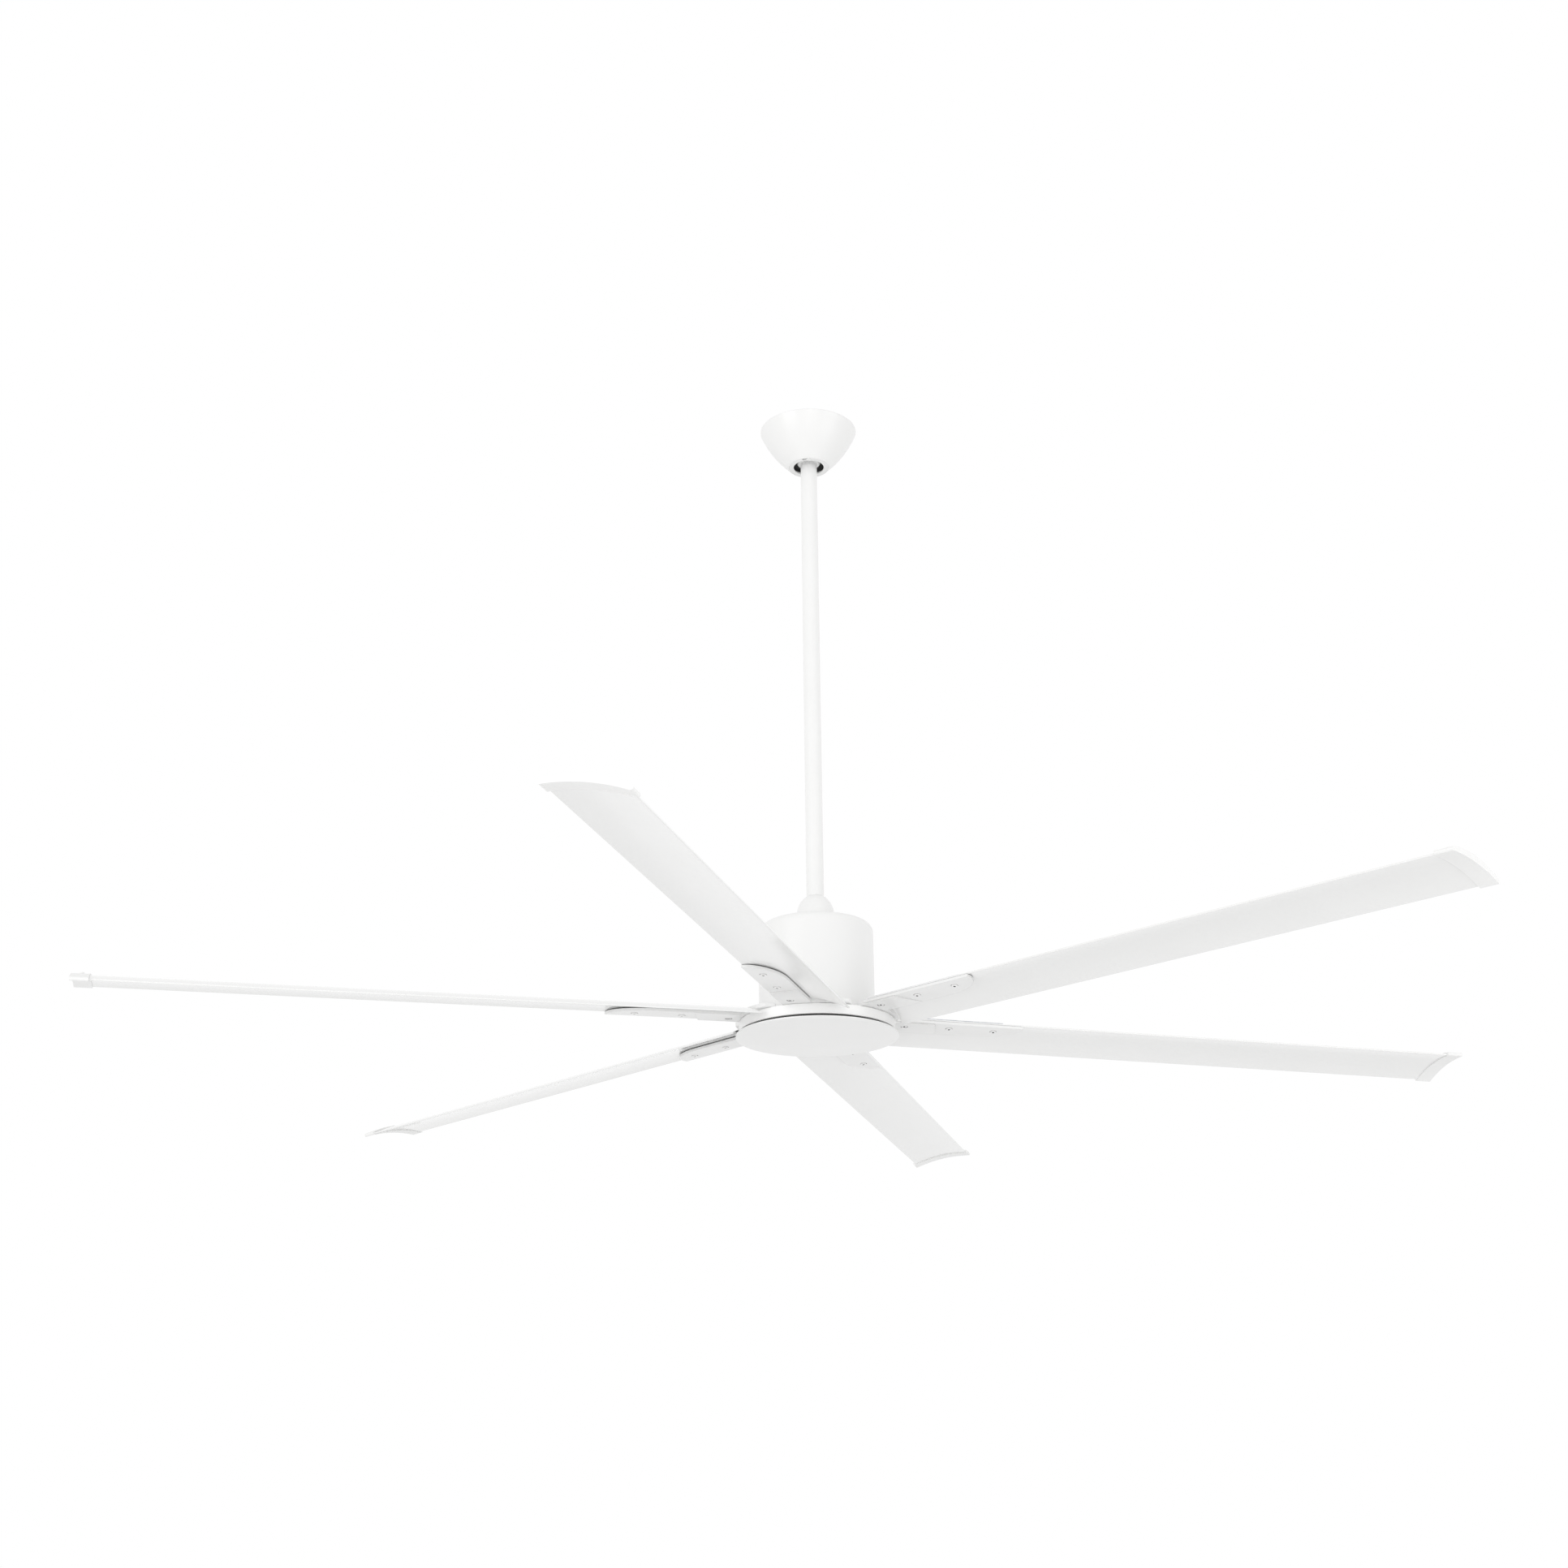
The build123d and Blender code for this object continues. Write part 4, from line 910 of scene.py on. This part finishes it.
class Shop:
    """Keeps one material for each finish, and dresses nodes with them."""

    def __init__(self) -> None:
        """Starts with no material made."""
        self.made: dict[Finish, bpy.types.Material] = {}

    def material(self, finish: Finish) -> bpy.types.Material:
        """Makes the material of a finish, or finds it when it is made.

        Args:
            finish: The finish.

        Returns:
            Its material.
        """
        if finish not in self.made:
            self.made[finish] = finish.build()
        return self.made[finish]

    def dress(self, node: str, finish: Finish) -> None:
        """Puts a finish on all material slots of a node.

        Args:
            node: The node's name.
            finish: The finish.
        """
        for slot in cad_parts[node].material_slots:
            slot.material = self.material(finish)
        LOG.info("%s wears %s", node, finish.name)


@dataclass
class Assembly:
    """Pieces that each wear one of the named finishes.

    Attributes:
        finishes: The finish of each piece by its node's name.
    """

    finishes: dict[str, Finishes]

    def build(self, shop: Shop) -> None:
        """Dresses the pieces.

        Args:
            shop: Where the materials are kept.
        """
        for node, finish in self.finishes.items():
            shop.dress(node, finish.value)


@dataclass
class CeilingMount(Assembly):
    """What stays on the ceiling: bracket, canopy, wiring pieces and the ball's rubber seat."""

    finishes: dict[str, Finishes] = field(
        default_factory=lambda: {
            "ceiling_bracket": Finishes.BLACK_COAT,
            "earth_screw": Finishes.BRIGHT_STEEL,
            "receiver_case": Finishes.WHITE_MOULDING,
            "terminal_block": Finishes.WHITE_MOULDING,
            "canopy": Finishes.CANOPY_PAINT,
            "canopy_screws": Finishes.HEAD_COAT,
            "seat_liner": Finishes.BLACK_RUBBER,
        }
    )


@dataclass
class Pendant(Assembly):
    """What hangs from the ball and doesn't turn: rod, coupling, housing and fixed motor pieces."""

    finishes: dict[str, Finishes] = field(
        default_factory=lambda: {
            "hanger_ball": Finishes.BALL_MOULDING,
            "ball_cross_pin": Finishes.GROUND_STEEL,
            "grub_screws": Finishes.BLACK_STEEL,
            "down_rod": Finishes.ROD_PAINT,
            "motor_lead": Finishes.LEAD_JACKET,
            "lead_plug": Finishes.WHITE_MOULDING,
            "coupling_yoke": Finishes.CAST_METAL,
            "flange_screws": Finishes.BRIGHT_STEEL,
            "coupling_pin": Finishes.GROUND_STEEL,
            "coupling_cotter": Finishes.BRIGHT_STEEL,
            "coupling_cover": Finishes.CANOPY_PAINT,
            "motor_housing": Finishes.HOUSING_PAINT,
            "motor_shaft": Finishes.GROUND_STEEL,
            "shaft_flange": Finishes.GROUND_STEEL,
            "shaft_circlips": Finishes.BLACK_STEEL,
            "upper_bearing_inner": Finishes.GROUND_STEEL,
            "lower_bearing_inner": Finishes.GROUND_STEEL,
            "stator_core": Finishes.CORE_SHEETS,
            "stator_windings": Finishes.COPPER,
            "driver_board": Finishes.BOARD,
            "board_pillars": Finishes.WHITE_MOULDING,
            "board_parts": Finishes.EPOXY,
        }
    )


@dataclass
class Rotor(Assembly):
    """The motor's turning shell with its hub, bottom cover, backing plates and screws."""

    finishes: dict[str, Finishes] = field(
        default_factory=lambda: {
            "rotor_cup": Finishes.CAST_METAL,
            "rotor_cap": Finishes.CAST_METAL,
            "rotor_magnets": Finishes.FERRITE,
            "rotor_screws": Finishes.BRIGHT_STEEL,
            "upper_bearing_outer": Finishes.GROUND_STEEL,
            "lower_bearing_outer": Finishes.GROUND_STEEL,
            "rotor_hub": Finishes.HUB_PAINT,
            "bottom_cover": Finishes.DISH_PAINT,
            "cover_clips": Finishes.BLACK_STEEL,
            "backing_plates": Finishes.ZINC,
            "blade_screws": Finishes.SCREW_COAT,
            "arm_screws": Finishes.BLACK_STEEL,
            "cap_screws": Finishes.SCREW_COAT,
        }
    )


@dataclass
class BladeSet:
    """The six blades with their arms and tip caps.

    Attributes:
        count: How many blades there are.
        first_azimuth: Direction of the first one about the axis, in degrees.
        gap_shade_span: Distances from the axis between which the narrow gaps beside the arms get
            painted shade.
    """

    count: int = 6
    first_azimuth: float = 15.6
    gap_shade_span: tuple[float, float] = (0.126, 0.33)

    def blade_paint(self, number: int, azimuth: float) -> Paint:
        """Glossy paint with the profile's lines along the blade.

        Args:
            number: The blade's number.
            azimuth: Its direction about the axis, in degrees.

        Returns:
            The finish.
        """
        return Paint(
            f"blade_paint_{number}",
            roughness=0.14,
            coat=0.5,
            peel_depth=0.000006,
            line_depth=0.000002,
            grain=Grain.LENGTHWISE,
            heading=azimuth,
            edge=0.0,
            hollow_grime_and_shade=0.0,
        )

    def arm_paint(self, number: int, azimuth: float) -> Paint:
        """Paint with painted shade in the narrow gap between arm and blade.

        Args:
            number: The arm's number.
            azimuth: Its direction about the axis, in degrees.

        Returns:
            The finish.
        """
        return Paint(
            f"arm_paint_{number}",
            # A deeper tone for the arms' mottle, and for darker painted shade in their own hollows
            # and steps
            mottle_and_shade_colour=(0.66, 0.66, 0.65),
            heading=azimuth,
            hollow_grime_and_shade=0.15,
            # Painted shade in the narrow gap between arm and blade
            gap_shade_reach=0.002,
            gap_shade_span=self.gap_shade_span,
        )

    def build(self, shop: Shop) -> None:
        """Dresses each blade along its own direction.

        Args:
            shop: Where the materials are kept.
        """
        for place in range(self.count):
            azimuth = self.first_azimuth + FULL_TURN * place / self.count
            number = place + 1
            shop.dress(f"blade_{number}", self.blade_paint(number, azimuth))
            shop.dress(f"blade_arm_{number}", self.arm_paint(number, azimuth))
            shop.dress(f"tip_cap_{number}", Finishes.CAP_MOULDING.value)


@dataclass(frozen=True)
class Lamp:
    """A soft square lamp.

    Attributes:
        name: What it is called.
        place: Where it hangs.
        side: Length of its side.
        power: Its power in watts.
    """

    name: str
    place: Triple
    side: float
    power: float

    def hang(self, aim: Triple) -> None:
        """Adds the lamp to the scene.

        Args:
            aim: The point that it faces.
        """
        data = bpy.data.lights.new(self.name, "AREA")
        data.size = self.side
        data.energy = self.power
        lamp = bpy.data.objects.new(self.name, data)
        lamp.location = self.place
        ahead = Vector(aim) - Vector(self.place)
        lamp.rotation_euler = ahead.to_track_quat("-Z", "Y").to_euler()
        bpy.context.collection.objects.link(lamp)


@dataclass
class Studio:
    """Camera, lamps, white surroundings and floor. Nothing here belongs to the fan.

    Attributes:
        camera_place: Where the camera stands.
        yaw: Its turn from +Y towards +X, in radians.
        pitch: How far it looks up, in radians.
        roll: Its tilt about the line of sight, in radians.
        lens: Its focal length in millimetres.
        sensor: Its sensor's width in millimetres.
        around: Strength of the surroundings' light on the fan.
        floor_level: Height of the floor.
        floor_half: Half the floor's side.
        floor_tones: The floor's two tones.
        floor_roughness: Its roughness.
        floor_speckle: The pattern between the two tones.
        fade_start: Distance from the axis where the floor starts to turn white.
        fade_length: Over which length it does so.
        lamps: The lamps.
        lamp_aim: The point that they face.
    """

    camera_place: Triple = (0.0, -3.150, -1.8237)
    yaw: float = -0.01463
    pitch: float = 0.36361
    roll: float = -0.01009
    lens: float = 49.586
    sensor: float = 36.0
    around: float = 0.87
    floor_level: float = -2.5
    floor_half: float = 30.0
    floor_tones: tuple[Triple, Triple] = ((0.90, 0.90, 0.90), (0.93, 0.93, 0.93))
    floor_roughness: float = 0.9
    floor_speckle: Pattern = Pattern(300.0, 2.0)
    fade_start: float = 2.5
    fade_length: float = 4.0
    lamps: tuple[Lamp, ...] = (
        Lamp("key", (-3.4, -3.4, -0.9), 2.6, 44.0),
        Lamp("fill", (3.4, -2.4, -1.3), 2.4, 22.0),
        Lamp("low", (0.6, -4.4, -1.7), 2.4, 16.0),
    )
    lamp_aim: Triple = (0.0, 0.0, -0.9)

    def build(self) -> None:
        """Sets up everything round the fan."""
        self.set_camera()
        self.set_world()
        self.lay_floor()
        for lamp in self.lamps:
            lamp.hang(self.lamp_aim)

    def set_camera(self) -> None:
        """Places the camera at the photograph's viewing angle."""
        across = math.cos(self.pitch)
        ahead = Vector(
            (math.sin(self.yaw) * across, math.cos(self.yaw) * across, math.sin(self.pitch))
        )
        level = Vector((math.cos(self.yaw), -math.sin(self.yaw), 0.0))
        above = level.cross(ahead)
        right = math.cos(self.roll) * level + math.sin(self.roll) * above
        up = -math.sin(self.roll) * level + math.cos(self.roll) * above
        camera = bpy.data.objects.new("camera", bpy.data.cameras.new("camera"))
        camera.data.lens = self.lens
        camera.data.sensor_width = self.sensor
        camera.data.sensor_fit = "HORIZONTAL"
        turn = Matrix((right, up, -ahead)).transposed().to_4x4()
        camera.matrix_world = Matrix.Translation(self.camera_place) @ turn
        bpy.context.collection.objects.link(camera)
        bpy.context.scene.camera = camera

    def seen_directly(self, graph: Graph) -> Value:
        """Tells rays that show the surroundings from rays that only bring their light.

        Args:
            graph: The tree of the world or of the floor.

        Returns:
            1 for rays from the camera, a mirror or glass, else 0.
        """
        path = graph.node("ShaderNodeLightPath")
        kinds = ("Camera", "Glossy", "Transmission")
        camera, mirror, glass = (Value(graph, path.outputs[f"Is {kind} Ray"]) for kind in kinds)
        return (camera + mirror + glass).clamped()

    def set_world(self) -> None:
        """White surroundings that light the fan a little less than they show."""
        world = bpy.data.worlds.new("surroundings")
        world.use_nodes = True
        bpy.context.scene.world = world
        graph = Graph(world.node_tree)
        strength = self.seen_directly(graph) * (1.0 - self.around) + self.around
        light = graph.node("ShaderNodeBackground", None, {"Color": WHITE, "Strength": strength})
        graph.node("ShaderNodeOutputWorld", None, {"Surface": light})
        bpy.context.scene.view_settings.view_transform = "Standard"

    def floor_material(self) -> bpy.types.Material:
        """Pale paper that turns white far from the fan, for rays that show it.

        Returns:
            The material.
        """
        material, graph = new_material("floor_paper")
        place = graph.place()
        x, y, _ = graph.apart(place)
        faded = ((off_axis(x, y) - self.fade_start) / self.fade_length).clamped()
        paper = graph.mixed(graph.noise(place, self.floor_speckle), *self.floor_tones)
        inputs = {"Base Color": paper, "Roughness": self.floor_roughness}
        near = graph.node("ShaderNodeBsdfPrincipled", None, inputs)
        far = graph.node("ShaderNodeEmission", None, {"Color": WHITE, "Strength": 1.0})
        inputs = {0: faded * self.seen_directly(graph), 1: near, 2: far}
        mixed = graph.node("ShaderNodeMixShader", None, inputs)
        graph.node("ShaderNodeOutputMaterial", None, {"Surface": mixed})
        return material

    def lay_floor(self) -> None:
        """Lays a plain pale floor under the fan."""
        half = self.floor_half
        corners = [(-half, -half), (half, -half), (half, half), (-half, half)]
        mesh = bpy.data.meshes.new("floor")
        mesh.from_pydata([(x, y, self.floor_level) for x, y in corners], [], [(0, 1, 2, 3)])
        mesh.materials.append(self.floor_material())
        floor = bpy.data.objects.new("floor", mesh)
        bpy.context.collection.objects.link(floor)


def main() -> None:
    """Builds the fan's looks and the studio in order."""
    logging.basicConfig(level=logging.INFO, format="%(message)s")
    shop = Shop()
    CeilingMount().build(shop)
    Pendant().build(shop)
    Rotor().build(shop)
    BladeSet().build(shop)
    Studio().build()


if __name__ == "__main__":
    main()
